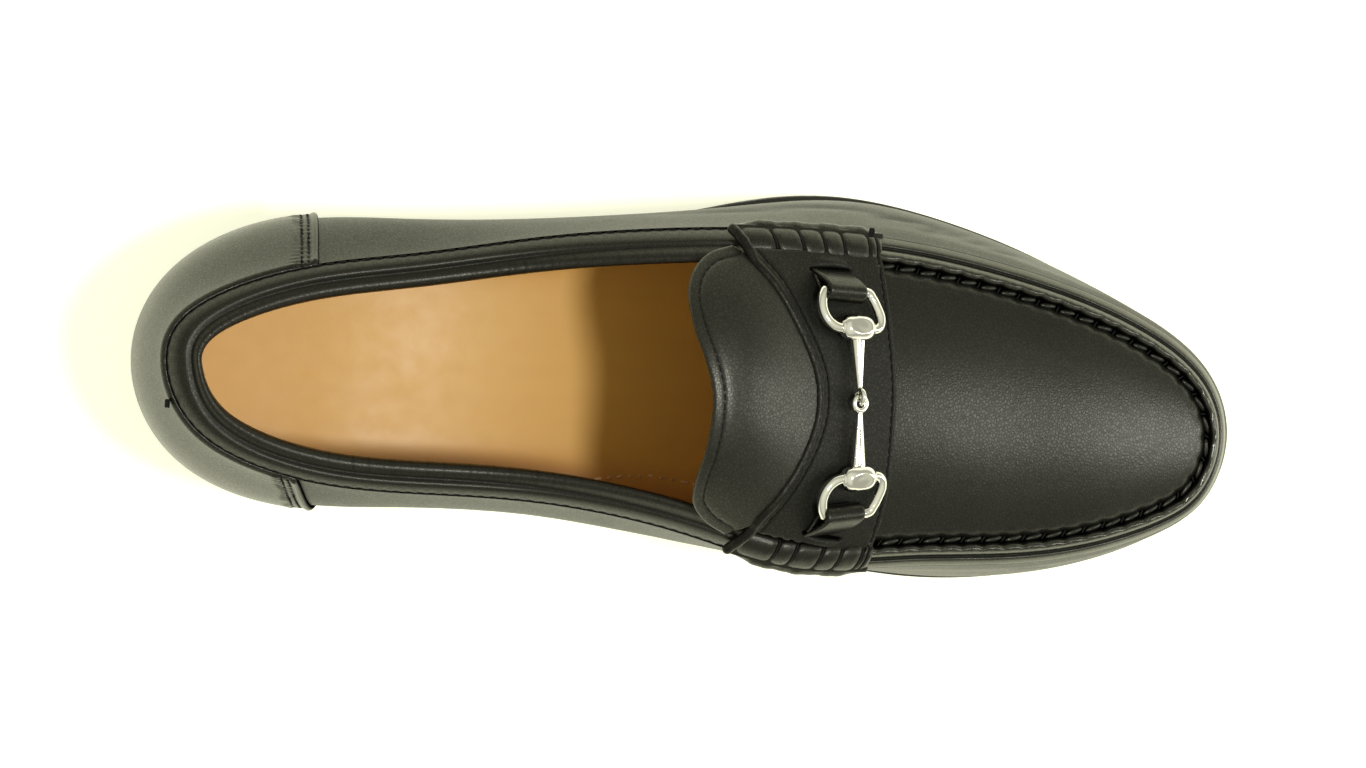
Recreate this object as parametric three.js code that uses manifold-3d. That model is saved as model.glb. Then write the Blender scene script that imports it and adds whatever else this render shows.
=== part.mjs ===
// A man's left bit loafer, standing empty on its sole. Millimetres, +X to the toe, +Y to the outer
// (little-toe) side, +Z up. The origin is on the floor, under the middle of the shoe's outline.
// The upper is a hollow leather shell on a flat outsole with a low stacked heel. Its raised seam, collar
// binding, gathered side seams, saddle, tongue and bit sit where the shell's own function puts them.
import * as THREE from "three";
import { mergeVertices } from "three/addons/utils/BufferGeometryUtils.js";
import Module from "manifold-3d";

const wasm = await Module();
wasm.setup();

// Driving dimensions
const LENGTH = 298; // back of the counter to the tip of the sole
const BALL_WIDTH = 102; // across the sole at the ball
const UPPER_RISE = 85; // top of the instep above the sole
const HEEL_HEIGHT = 22; // heel block with its top piece
const TOE_SPRING = 11;
const SOLE_THICKNESS = 5;
const SOLE_MARGIN = 1.8; // how far the sole stands out past the upper's lower edge
const WALL = 2.2; // upper leather with its lining
const CLEARANCE = 0.3; // between pieces that meet

const HEEL_LENGTH = 68; // back of the sole to the breast of the heel
const HEEL_TAPER = 2.2; // how far the block draws in towards the floor
const TOP_PIECE = 6; // rubber top piece under the heel stack
const INSOLE_THICKNESS = 3;

const COUNTER_SHARE = 0.149; // front edge of the counter, as a share of the length
const COUNTER_LEATHER = 1.2;
const BAND_WIDTH = 8.3; // collar binding, stitch line to opening
const BAND_HEIGHT = 3.4;
const BAND_COVER = 4.5; // how much of the wall's top edge the binding covers
const ROLL_WIDTH = 5.4; // raised seam round the apron
const ROLL_HEIGHT = 2.8;
const GATHER_RADIUS = 3.5; // gathered side seam beside the saddle
const GATHER_PUFFS = 6;
const PIPING_RADIUS = 1.5;
const TONGUE_LEATHER = 2.2;
const SADDLE_LEATHER = 1.8;

const RING_WIRE = 1.35; // radius of the ring's wire
const RING_WIDTH = 19.8; // ring along the foot, outside to outside
const TAB_WIDTH = 9.2;
const TAB_LEATHER = 1.3;
const BARREL_LENGTH = 9.6;
const BARREL_RADIUS = 3.1;
const BAR_THICK = 1.7; // radius of a bar at its barrel
const BAR_THIN = 0.75; // radius of a bar at its eye
const EYE_RADIUS = 1.75; // middle of the eye's wire
const EYE_WIRE = 0.7; // radius of the eye's wire

// The ribs of the last, from the back of the heel forward to the toe. Each row is one section, with its
// outer and its inner side. sole is the sole's edge and top the line where the wall ends at the binding or
// the raised seam, both as shares of length and ball width. rise is that line's height above the sole and
// crown the rise of the surface between the two sides, as shares of the upper's rise. full and lean swell
// the wall low and high, as shares of the ball width.
const RIBS = [
  { name: "heel back", crown: 0.0,
    outer: { sole: [-0.489, -0.049], top: [-0.47, -0.02], rise: 0.6, full: 0.085, lean: 0.045 } },
  { name: "heel corner", crown: 0.03,
    outer: { sole: [-0.458, 0.176], top: [-0.45, 0.122], rise: 0.588, full: 0.112, lean: 0.04 },
    inner: { sole: [-0.452, -0.25], top: [-0.437, -0.182], rise: 0.584, full: 0.09, lean: 0.05 } },
  { name: "heel side", crown: 0.06,
    outer: { sole: [-0.376, 0.314], top: [-0.367, 0.23], rise: 0.518, full: 0.1, lean: 0.05 },
    inner: { sole: [-0.369, -0.336], top: [-0.356, -0.276], rise: 0.53, full: 0.11, lean: 0.04 } },
  { name: "quarter", crown: 0.07,
    outer: { sole: [-0.268, 0.333], top: [-0.265, 0.287], rise: 0.468, full: 0.11, lean: 0.035 },
    inner: { sole: [-0.262, -0.328], top: [-0.262, -0.298], rise: 0.5, full: 0.105, lean: 0.035 } },
  { name: "waist", crown: 0.11,
    outer: { sole: [-0.151, 0.353], top: [-0.154, 0.353], rise: 0.532, full: 0.105, lean: 0.02 },
    inner: { sole: [-0.141, -0.324], top: [-0.151, -0.303], rise: 0.563, full: 0.12, lean: 0.03 } },
  { name: "throat", crown: 0.28,
    outer: { sole: [-0.04, 0.412], top: [-0.04, 0.401], rise: 0.71, full: 0.075, lean: 0.02 },
    inner: { sole: [-0.034, -0.363], top: [-0.034, -0.346], rise: 0.73, full: 0.11, lean: 0.03 } },
  { name: "bit", crown: 0.147,
    outer: { sole: [0.05, 0.478], top: [0.044, 0.416], rise: 0.774, full: 0.034, lean: 0.04 },
    inner: { sole: [0.067, -0.431], top: [0.067, -0.412], rise: 0.792, full: 0.03, lean: 0.015 } },
  { name: "ball", crown: 0.112,
    outer: { sole: [0.141, 0.5], top: [0.134, 0.412], rise: 0.688, full: 0.032, lean: 0.05 },
    inner: { sole: [0.168, -0.493], top: [0.168, -0.406], rise: 0.694, full: 0.002, lean: 0.035 } },
  { name: "apron", crown: 0.097,
    outer: { sole: [0.242, 0.449], top: [0.228, 0.377], rise: 0.588, full: 0.025, lean: 0.04 },
    inner: { sole: [0.268, -0.499], top: [0.263, -0.395], rise: 0.588, full: 0.002, lean: 0.04 } },
  { name: "toe side", crown: 0.087,
    outer: { sole: [0.336, 0.356], top: [0.326, 0.312], rise: 0.475, full: 0.018, lean: 0.03 },
    inner: { sole: [0.362, -0.444], top: [0.349, -0.362], rise: 0.467, full: 0.008, lean: 0.035 } },
  { name: "toe corner", crown: 0.066,
    outer: { sole: [0.426, 0.221], top: [0.409, 0.218], rise: 0.338, full: 0.02, lean: 0.025 },
    inner: { sole: [0.44, -0.338], top: [0.426, -0.29], rise: 0.327, full: 0.012, lean: 0.02 } },
  { name: "toe round", crown: 0.03,
    outer: { sole: [0.478, 0.093], top: [0.46, 0.103], rise: 0.248, full: 0.018, lean: 0.018 },
    inner: { sole: [0.483, -0.201], top: [0.467, -0.192], rise: 0.246, full: 0.014, lean: 0.015 } },
  { name: "toe tip", crown: 0.0,
    outer: { sole: [0.5, -0.054], top: [0.48, -0.045], rise: 0.206, full: 0.016, lean: 0.015 } },
];
const TIP = RIBS.length - 1;
const LOOP = 2 * TIP; // ribs once round the shoe

// Where pieces begin and end round the shoe, in ribs counted from the heel along each side
const BINDING_ENDS = { outer: 5.3, inner: 5.37 };
const GATHER = { outer: [5.52, 6.9], inner: [5.6, 6.66] };
const PIPING_CROSSING = { outer: 5.42, inner: 5.5 };

// Periodic cubic curve through the ribs
function ribSide(index) {
  const i = ((index % LOOP) + LOOP) % LOOP;
  if (i <= TIP) return { rib: RIBS[i], side: RIBS[i].outer };
  return { rib: RIBS[LOOP - i], side: RIBS[LOOP - i].inner };
}
function loopCurve(pick) {
  const values = Array.from({ length: LOOP }, (_, i) => pick(ribSide(i)));
  const at = (list, i) => list[(i + LOOP) % LOOP];
  const slopes = values.map(() => 0);
  for (let pass = 0; pass < 40; pass++)
    for (let i = 0; i < LOOP; i++) {
      const span = at(values, i + 1) - at(values, i - 1);
      slopes[i] = (3 * span - at(slopes, i - 1) - at(slopes, i + 1)) / 4;
    }
  return (s) => {
    const place = ((s % LOOP) + LOOP) % LOOP;
    const i = Math.floor(place) % LOOP;
    const t = place - Math.floor(place);
    const a = values[i];
    const b = at(values, i + 1);
    const [da, db] = [slopes[i], at(slopes, i + 1)];
    return a + t * (da + t * (3 * (b - a) - 2 * da - db + t * (2 * (a - b) + da + db)));
  };
}
const curve = {
  soleX: loopCurve((r) => r.side.sole[0] * LENGTH),
  soleY: loopCurve((r) => r.side.sole[1] * BALL_WIDTH),
  topX: loopCurve((r) => r.side.top[0] * LENGTH),
  topY: loopCurve((r) => r.side.top[1] * BALL_WIDTH),
  rise: loopCurve((r) => r.side.rise * UPPER_RISE),
  full: loopCurve((r) => r.side.full * BALL_WIDTH),
  lean: loopCurve((r) => r.side.lean * BALL_WIDTH),
  crown: loopCurve((r) => r.rib.crown * UPPER_RISE),
};

// Side profile of the sole. The waist climbs to the heel seat between two shares of the length and the toe
// lifts in front of the ball, so that the ball lies flat on the floor.
const WAIST_FOOT = 0.6;
const WAIST_TOP = 0.16;
const SPRING_START = 0.76;
const smooth = (k) => {
  const c = Math.min(1, Math.max(0, k));
  return c * c * (3 - 2 * c);
};
function soleUnderside(x) {
  const share = x / LENGTH + 0.5;
  const seat = HEEL_HEIGHT * smooth((WAIST_FOOT - share) / (WAIST_FOOT - WAIST_TOP));
  const lift = Math.max(0, (share - SPRING_START) / (1 - SPRING_START));
  return seat + TOE_SPRING * lift * lift;
}
const soleTop = (x) => soleUnderside(x) + SOLE_THICKNESS;

// Outward direction in plan at rib place s
function outward(s) {
  const step = 0.02;
  const dx = curve.soleX(s + step) - curve.soleX(s - step);
  const dy = curve.soleY(s + step) - curve.soleY(s - step);
  const size = Math.hypot(dx, dy);
  return [-dy / size, dx / size];
}
const solePoint = (s, inset, z) => {
  const [nx, ny] = outward(s);
  const x = curve.soleX(s) - nx * inset;
  return [x, curve.soleY(s) - ny * inset, z(x)];
};

// A point of the line where the wall ends, moved by a distance outward and a distance up
function topPoint(s, out = 0, up = 0) {
  const [nx, ny] = outward(s);
  const z = soleTop(curve.soleX(s)) + curve.rise(s);
  return [curve.topX(s) + nx * out, curve.topY(s) + ny * out, z + up];
}

// The wall from the sole's edge to the top line is a cubic bow, swollen by full and lean. inset moves it
// inwards.
const INSET_DROP = 0.5; // the top line sinks by this share of the inset
const BOW_LOW = 0.42;
const BOW_HIGH = 0.3;
function wallPoint(s, t, inset) {
  const [nx, ny] = outward(s);
  const foot = solePoint(s, SOLE_MARGIN + inset, (x) => soleTop(x) + CLEARANCE);
  const top = topPoint(s, -inset * 0.85, -inset * INSET_DROP);
  const height = top[2] - foot[2];
  const [full, lean] = [curve.full(s), curve.lean(s)];
  const low = [foot[0] + nx * full, foot[1] + ny * full, foot[2] + BOW_LOW * height];
  const high = [top[0] + nx * lean, top[1] + ny * lean, top[2] - BOW_HIGH * height];
  const u = 1 - t;
  return [0, 1, 2].map(
    (k) => u * u * u * foot[k] + 3 * u * u * t * low[k] + 3 * u * t * t * high[k] + t * t * t * top[k],
  );
}

// The surface between the two sides at section i: v runs from the inner side at -1 to the outer side at 1
const CROWN_POWER = 2.2;
function crownPoint(i, v, inset, border) {
  const a = border(LOOP - i);
  const b = border(i);
  const share = (v + 1) / 2;
  const swell = curve.crown(i) * (1 - Math.abs(v) ** CROWN_POWER);
  const sink = inset * (1 - INSET_DROP) * (1 - v ** 4);
  return [0, 1, 2].map((k) => a[k] + (b[k] - a[k]) * share + (k === 2 ? swell - sink : 0));
}

// Closed bodies out of rings and crowns
const RIB_STEPS = 2; // ring places between two ribs
const ACROSS = 8;
const places = Array.from({ length: LOOP * RIB_STEPS }, (_, i) => i / RIB_STEPS);

function geometryOf(triangles) {
  const raw = new THREE.BufferGeometry();
  raw.setAttribute("position", new THREE.BufferAttribute(new Float32Array(triangles.flat(2)), 3));
  return raw;
}
function quad(list, a, b, c, d) {
  list.push([a, b, c], [a, c, d]);
}
// Walls between rings of points that run the same way round, lowest first
function ringWalls(rings) {
  const list = [];
  for (let j = 0; j + 1 < rings.length; j++)
    rings[j].forEach((point, i) => {
      const next = (i + 1) % rings[j].length;
      quad(list, rings[j][next], point, rings[j + 1][i], rings[j + 1][next]);
    });
  return list;
}
// A cover over a ring: section lines across the shoe, closed by a fan at the heel and at the toe
function cover(place, tip, tail, up) {
  const lines = [];
  for (let i = 1; i < TIP * RIB_STEPS; i++)
    lines.push(Array.from({ length: ACROSS + 1 }, (_, k) => place(i / RIB_STEPS, (2 * k) / ACROSS - 1)));
  const list = [];
  for (let i = 0; i + 1 < lines.length; i++)
    for (let k = 0; k < ACROSS; k++)
      quad(list, lines[i][k], lines[i + 1][k], lines[i + 1][k + 1], lines[i][k + 1]);
  const last = lines[lines.length - 1];
  for (let k = 0; k < ACROSS; k++) {
    list.push([tail, lines[0][k], lines[0][k + 1]]);
    list.push([last[k], tip, last[k + 1]]);
  }
  return up ? list : list.map(([a, b, c]) => [a, c, b]);
}

function solid(geometry) {
  const bare = geometry.index ? geometry.toNonIndexed() : geometry;
  const points = new THREE.BufferGeometry().setAttribute("position", bare.getAttribute("position"));
  const merged = mergeVertices(points, 1e-4);
  const mesh = { numProp: 3, vertProperties: merged.attributes.position.array, triVerts: merged.index.array };
  mesh.triVerts = new Uint32Array(mesh.triVerts);
  return new wasm.Manifold(new wasm.Mesh(mesh));
}

// The whole form of the upper as one closed body, moved inwards by inset. drop lowers its foot, so that the
// form that hollows the upper also opens it underneath.
const WALL_ROWS = 7;
function lastBody(inset, drop = 0) {
  const rows = Array.from({ length: WALL_ROWS + 1 }, (_, j) => j / WALL_ROWS);
  const rings = rows.map((t) => places.map((s) => wallPoint(s, t, inset)));
  if (drop) rings.unshift(rings[0].map(([x, y, z]) => [x, y, z - drop]));
  const floor = rings[0];
  const border = rings[rings.length - 1];
  const onRing = (ring) => (s) => ring[(Math.round(s * RIB_STEPS) + places.length) % places.length];
  const flat = (ring) => (i, v) => {
    const [a, b] = [onRing(ring)(LOOP - i), onRing(ring)(i)];
    return [0, 1, 2].map((k) => a[k] + ((b[k] - a[k]) * (v + 1)) / 2);
  };
  const half = TIP * RIB_STEPS;
  const crown = (i, v) => crownPoint(i, v, inset, onRing(border));
  return solid(
    geometryOf([
      ...ringWalls(rings),
      ...cover(crown, border[half], border[0], true),
      ...cover(flat(floor), floor[half], floor[0], false),
    ]),
  );
}

const largestBody = (body) => body.decompose().sort((a, b) => b.volume() - a.volume())[0];

// An upright prism over a plan outline
const PRISM_TOP = 160;
function prism(outline, low = -10, high = PRISM_TOP) {
  const shape = new THREE.Shape(outline.map(([x, y]) => new THREE.Vector2(x, y)));
  const geometry = new THREE.ExtrudeGeometry(shape, { depth: high - low, bevelEnabled: false });
  return solid(geometry.translate(0, 0, low));
}
function box(x0, x1, y0, y1, z0, z1) {
  const geometry = new THREE.BoxGeometry(x1 - x0, y1 - y0, z1 - z0);
  return solid(geometry.translate((x0 + x1) / 2, (y0 + y1) / 2, (z0 + z1) / 2));
}

// Height of the upper's surface over a place in plan
const outerForm = lastBody(0);
const surfaceMesh = meshOf(outerForm, "surface");
const ray = new THREE.Raycaster();
function surfaceAt(x, y) {
  ray.set(new THREE.Vector3(x, y, PRISM_TOP), new THREE.Vector3(0, 0, -1));
  return ray.intersectObject(surfaceMesh)[0].point.z;
}
function meshOf(manifold, name, material) {
  const { vertProperties, triVerts } = manifold.getMesh();
  const geometry = new THREE.BufferGeometry();
  geometry.setAttribute("position", new THREE.BufferAttribute(new Float32Array(vertProperties), 3));
  geometry.setIndex(new THREE.BufferAttribute(new Uint32Array(triVerts), 1));
  geometry.computeVertexNormals();
  const mesh = new THREE.Mesh(geometry, material);
  mesh.name = name;
  mesh.updateMatrixWorld(true);
  return mesh;
}

// A strip along the top line, between two rib places. profile gives its section there as distances outward
// and up, and place turns these into a point.
function strip(from, to, steps, profile, place = topPoint) {
  const sections = Array.from({ length: steps + 1 }, (_, k) => {
    const s = from + ((to - from) * k) / steps;
    return { s, profile: profile(k / steps, s) };
  });
  const rings = sections.map(({ s, profile: section }) => section.map(([out, up]) => place(s, out, up)));
  const flat = sections[0].profile.map(([out, up]) => new THREE.Vector2(out, up));
  const caps = THREE.ShapeUtils.triangulateShape(flat, []);
  const [first, last] = [rings[0], rings[steps]];
  return solid(
    geometryOf([
      ...ringWalls(rings).map(([a, b, c]) => [a, c, b]),
      ...caps.map(([a, b, c]) => [first[a], first[c], first[b]]),
      ...caps.map(([a, b, c]) => [last[a], last[b], last[c]]),
    ]),
  );
}

// Raised seam: a roll on the surface round the apron, one with the upper
const ROLL_PROFILE = [
  [-0.06, -0.3],
  [-0.1, 0.6],
  [-0.35, 1],
  [-0.65, 1],
  [-0.95, 0.5],
  [-1, -0.3],
];
const onForm = (s, out, up) => {
  const [x, y] = topPoint(s, out);
  return [x, y, surfaceAt(x, y) + up];
};
const raisedSeam = strip(
  GATHER.outer[1] + 0.1,
  LOOP - GATHER.inner[1] - 0.1,
  30,
  () => ROLL_PROFILE.map(([out, up]) => [out * ROLL_WIDTH, up * ROLL_HEIGHT]),
  onForm,
);

// Upper: vamp, apron and quarters, open at the collar and underneath
const THROAT_X = 8; // the shell's front edge of the opening, hidden under the tongue
const FLANGE_END = 1.3; // the flange under the binding narrows to this at the throat
const flange = (s, width) => width + (FLANGE_END - BAND_COVER) * smooth((Math.abs(s) - 2.9) / 1.1);
const openingOutline = (inset) => {
  const ends = [BINDING_ENDS.inner + 0.1, BINDING_ENDS.outer + 0.1];
  const steps = 44;
  const edge = Array.from({ length: steps + 1 }, (_, k) => -ends[0] + ((ends[0] + ends[1]) * k) / steps);
  const side = edge.map((s) => topPoint(s, -flange(s, inset)));
  return [...side, [THROAT_X, side[steps][1], 0], [THROAT_X, side[0][1], 0]];
};
function shell(outerInset, innerInset, openingInset) {
  const hollow = lastBody(innerInset, SOLE_THICKNESS);
  return lastBody(outerInset).subtract(hollow).subtract(prism(openingOutline(openingInset), HEEL_HEIGHT));
}
const upper = shell(0, WALL, BAND_COVER).add(raisedSeam);
const upperClear = shell(-CLEARANCE, WALL + CLEARANCE, BAND_COVER + CLEARANCE);

// Outsole: one slab with a rounded lower edge, following the arch and the toe spring
function soleSlab(expand) {
  const rows = [
    [0.9, 0],
    [0, 0.9],
    [0, SOLE_THICKNESS - 0.5],
    [0.5, SOLE_THICKNESS],
  ];
  const rings = rows.map(([inset, up], k) =>
    places.map((s) => solePoint(s, inset - expand, (x) => soleUnderside(x) + up + (k < 2 ? -expand : expand))),
  );
  const half = TIP * RIB_STEPS;
  const sheet = (ring, up) => {
    const at = (s) => ring[(Math.round(s * RIB_STEPS) + places.length) % places.length];
    const point = (i, v) => {
      const [a, b] = [at(LOOP - i), at(i)];
      const x = a[0] + ((b[0] - a[0]) * (v + 1)) / 2;
      const y = a[1] + ((b[1] - a[1]) * (v + 1)) / 2;
      return Math.abs(v) === 1 ? (v > 0 ? b : a) : [x, y, soleUnderside(x) + up];
    };
    return cover(point, ring[half], ring[0], up > 0);
  };
  return solid(
    geometryOf([...ringWalls(rings), ...sheet(rings[3], SOLE_THICKNESS + expand), ...sheet(rings[0], -expand)]),
  );
}
const outsole = soleSlab(0);

// Heel: a tapered stack under the seat with a rubber top piece, both cut off straight at the breast
const SOLE_BACK = Math.min(...places.map((s) => curve.soleX(s)));
const BREAST_X = SOLE_BACK + HEEL_LENGTH;
function heelBlock(low, high) {
  const around = places.map((s) => (s > LOOP / 2 ? s - LOOP : s)).sort((a, b) => a - b);
  const back = around.filter((s) => curve.soleX(s) < BREAST_X + 12);
  const rings = [low, high].map((z) => {
    const inset = 0.6 + HEEL_TAPER * (1 - z / HEEL_HEIGHT);
    return back.map((s) => solePoint(s, inset, () => z));
  });
  const middle = (ring) => [BREAST_X, 0, ring[0][2]];
  const caps = rings.flatMap((ring, up) =>
    ring.map((point, i) => {
      const next = ring[(i + 1) % ring.length];
      return up ? [middle(ring), next, point] : [middle(ring), point, next];
    }),
  );
  const block = solid(geometryOf([...ringWalls(rings), ...caps]));
  return block.intersect(box(-LENGTH, BREAST_X, -BALL_WIDTH, BALL_WIDTH, low - 1, high + 1));
}
const soleClear = soleSlab(CLEARANCE);
const overSeat = box(-LENGTH, 0, -BALL_WIDTH, BALL_WIDTH, HEEL_HEIGHT + 1, PRISM_TOP);
const heelStack = heelBlock(TOP_PIECE, HEEL_HEIGHT + 1).subtract(soleClear).subtract(overSeat);
const topPiece = heelBlock(0, TOP_PIECE);

// Insole: a leather sock that lies on the outsole inside the upper
function insoleSlab() {
  const inset = SOLE_MARGIN + WALL + 2 * CLEARANCE;
  const heights = [CLEARANCE, CLEARANCE + INSOLE_THICKNESS];
  const rings = heights.map((up) => places.map((s) => solePoint(s, inset, (x) => soleTop(x) + up)));
  const half = TIP * RIB_STEPS;
  const sheet = (ring, up) => {
    const at = (s) => ring[(Math.round(s * RIB_STEPS) + places.length) % places.length];
    const point = (i, v) => {
      const [a, b] = [at(LOOP - i), at(i)];
      const x = a[0] + ((b[0] - a[0]) * (v + 1)) / 2;
      return [x, a[1] + ((b[1] - a[1]) * (v + 1)) / 2, soleTop(x) + heights[up ? 1 : 0]];
    };
    return cover(point, ring[half], ring[0], up);
  };
  return solid(geometryOf([...ringWalls(rings), ...sheet(rings[1], true), ...sheet(rings[0], false)]));
}
const insole = insoleSlab();

// Counter: a second leather round the heel, between two forms of the upper, below the binding
const topLoop = (out) => places.map((s) => topPoint(s, out));
function counterPiece() {
  const leather = lastBody(-CLEARANCE - COUNTER_LEATHER).subtract(lastBody(-CLEARANCE));
  const below = leather.subtract(prism(topLoop(3 * CLEARANCE)));
  const front = (COUNTER_SHARE - 0.5) * LENGTH;
  const slant = 16; // the seam runs forward as it goes down on the inner side
  const side = new THREE.Shape([
    new THREE.Vector2(-LENGTH, -10),
    new THREE.Vector2(front + slant, -10),
    new THREE.Vector2(front - 5, UPPER_RISE),
    new THREE.Vector2(-LENGTH, PRISM_TOP),
  ]);
  const innerSide = new THREE.ExtrudeGeometry(side, { depth: BALL_WIDTH, bevelEnabled: false });
  const innerKeep = solid(innerSide.rotateX(Math.PI / 2));
  const outerKeep = box(-LENGTH, front, 0, BALL_WIDTH, -10, PRISM_TOP);
  return below.intersect(innerKeep.add(outerKeep));
}
const counter = largestBody(counterPiece());

// Collar binding: a padded band over the top edge of the wall, rolled over into the shoe
const BAND_PROFILE = [
  [0, 0.05],
  [-0.16, 0.55],
  [-0.42, 0.85],
  [-0.72, 1],
  [-0.93, 0.7],
  [-1, 0.05],
  [-0.92, -0.6],
  [-0.66, -0.7],
  [-0.62, 0.1],
];
const BAND_TILT = 0.75; // slope of the band at the throat, where it climbs to the tongue's side
const bindingBand = strip(-BINDING_ENDS.inner, BINDING_ENDS.outer, 36, (share, s) => {
  const tilt = BAND_TILT * smooth((Math.abs(s) - 3.1) / 2.1);
  return BAND_PROFILE.map(([out, up]) => [out * BAND_WIDTH, up * BAND_HEIGHT - tilt * out * BAND_WIDTH]);
});
const collarBinding = largestBody(bindingBand.subtract(upperClear));

// Gathered side seams: a roll beside the saddle, drawn in by its thread between the puffs
function gatheredSeam(from, to) {
  const sides = 8;
  const steps = GATHER_PUFFS * 4;
  const roll = strip(from, to, steps, (share) => {
    const pinch = 0.82 + 0.18 * Math.abs(Math.sin(Math.PI * GATHER_PUFFS * share));
    const radius = GATHER_RADIUS * pinch;
    return Array.from({ length: sides }, (_, k) => {
      const angle = (2 * Math.PI * k) / sides;
      return [-GATHER_RADIUS + radius * Math.cos(angle), 1.2 + radius * Math.sin(angle)];
    });
  });
  return roll.subtract(lastBody(-CLEARANCE));
}
const outerGather = gatheredSeam(GATHER.outer[0], GATHER.outer[1]);
const innerGather = gatheredSeam(LOOP - GATHER.inner[1], LOOP - GATHER.inner[0]);

// The piping's line in plan, from the outer top line over the instep to the inner one, as shares of length
// and width
const PIPING_LINE = [
  [0.0, 0.34],
  [0.022, 0.27],
  [0.044, 0.175],
  [0.061, 0.085],
  [0.0665, 0.01],
  [0.064, -0.06],
  [0.054, -0.14],
  [0.04, -0.215],
  [0.026, -0.275],
];
const PIPING_OVERHANG = 2.4; // how far the piping's ends hang over the wall
const PIPING_SWING = 0.13; // and how far they swing to the heel there, in ribs
function pipingEnd(place, sign) {
  const s = sign > 0 ? place : LOOP - place;
  return { edge: topPoint(s, -1.2), past: topPoint(s - sign * PIPING_SWING, PIPING_OVERHANG) };
}
const endOuter = pipingEnd(PIPING_CROSSING.outer, 1);
const endInner = pipingEnd(PIPING_CROSSING.inner, -1);
const pipingPlan = [
  endOuter.edge,
  ...PIPING_LINE.map(([x, y]) => [x * LENGTH, y * BALL_WIDTH]),
  endInner.edge,
];
const liftOf = (radius) => radius + CLEARANCE;
const onSurface = ([x, y], up) => new THREE.Vector3(x, y, surfaceAt(x, y) + up);
const pipingPath = new THREE.CatmullRomCurve3([
  new THREE.Vector3(endOuter.past[0], endOuter.past[1], endOuter.past[2] + 0.2),
  ...pipingPlan.map((point) => onSurface(point, liftOf(PIPING_RADIUS) + 0.25)),
  new THREE.Vector3(endInner.past[0], endInner.past[1], endInner.past[2] + 0.2),
]);
const roundShape = (radius, sides) =>
  new THREE.Shape(
    Array.from({ length: sides }, (_, k) => {
      const angle = (2 * Math.PI * k) / sides;
      return new THREE.Vector2(radius * Math.cos(angle), radius * Math.sin(angle));
    }),
  );
const pipingTube = new THREE.ExtrudeGeometry(roundShape(PIPING_RADIUS, 8), {
  extrudePath: pipingPath,
  steps: 40,
  bevelEnabled: false,
});
const saddlePiping = solid(pipingTube).subtract(lastBody(-CLEARANCE));

// Tongue and saddle are leathers between two forms of the upper, parted in plan by the piping
const pipingLine = new THREE.SplineCurve(pipingPlan.map(([x, y]) => new THREE.Vector2(x, y)));
const besidePiping = (sideways) =>
  Array.from({ length: 25 }, (_, k) => {
    const point = pipingLine.getPoint(k / 24);
    const heading = pipingLine.getTangent(k / 24);
    return [point.x - sideways * heading.y, point.y + sideways * heading.x];
  });
const TONGUE_EDGE = [
  [-0.016, 0.33],
  [-0.034, 0.32],
  [-0.045, 0.29],
  [-0.051, 0.235],
  [-0.045, 0.165],
  [-0.035, 0.095],
  [-0.028, 0.025],
  [-0.0265, -0.045],
  [-0.028, -0.12],
  [-0.031, -0.19],
  [-0.029, -0.245],
  [-0.016, -0.29],
  [0.002, -0.305],
];
const edgeLine = new THREE.SplineCurve(
  TONGUE_EDGE.map(([x, y]) => new THREE.Vector2(x * LENGTH, y * BALL_WIDTH)),
);
const edgePoints = edgeLine.getPoints(26).map((p) => [p.x, p.y]);
const pipingGap = PIPING_RADIUS + 1.5 * CLEARANCE;
const behindPiping = besidePiping(-pipingGap);
const aheadOfPiping = besidePiping(pipingGap);
const insideGathers = (from, to) =>
  Array.from({ length: 9 }, (_, k) => topPoint(from + ((to - from) * k) / 8, -2 * GATHER_RADIUS - CLEARANCE));
const saddleFront = 0.137; // the seam at the front of the saddle, as a share of the length
function leather(thickness, outline) {
  const sheet = lastBody(-CLEARANCE - thickness).subtract(lastBody(-CLEARANCE));
  return sheet.intersect(prism(outline, UPPER_RISE / 2));
}
const TONGUE_STEPS = 30;
const besideBand = (from, to) =>
  Array.from({ length: TONGUE_STEPS }, (_, k) =>
    topPoint(from + ((to - from) * k) / (TONGUE_STEPS - 1), -BAND_WIDTH - CLEARANCE),
  );
const insideTop = prism([...besideBand(2, 10), ...besideBand(LOOP - 10, LOOP - 2)]);
const tongue = leather(TONGUE_LEATHER, [...edgePoints, ...behindPiping.reverse()]).intersect(insideTop);
const saddleSides = {
  outer: insideGathers(GATHER.outer[0], GATHER.outer[1]),
  inner: insideGathers(LOOP - GATHER.inner[1], LOOP - GATHER.inner[0]),
};
const saddleEdge = [
  ...saddleSides.outer,
  [(saddleFront + 0.006) * LENGTH, 0, 0],
  ...saddleSides.inner,
];
const frontOfPiping = [...aheadOfPiping, [LENGTH / 2, -BALL_WIDTH], [LENGTH / 2, BALL_WIDTH]];
const saddle = leather(SADDLE_LEATHER, saddleEdge).intersect(prism(frontOfPiping));

// The bit: two rings in leather tabs, each with a barrel and a tapered bar, linked by two small eyes.
// Places are where a tab folds round its ring and the barrel's middle, as shares in plan.
const BIT = {
  outer: { tab: [0.093, 0.271], barrel: [0.095, 0.187] },
  inner: { tab: [0.1083, -0.258], barrel: [0.1062, -0.171] },
};
const LINK = [0.1027, 0.0167];
const saddleForm = lastBody(-2 * CLEARANCE - SADDLE_LEATHER);
const saddleMesh = meshOf(saddleForm, "saddle form");
function saddleHeight(x, y) {
  ray.set(new THREE.Vector3(x, y, PRISM_TOP), new THREE.Vector3(0, 0, -1));
  return ray.intersectObject(saddleMesh)[0].point.z;
}
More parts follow.
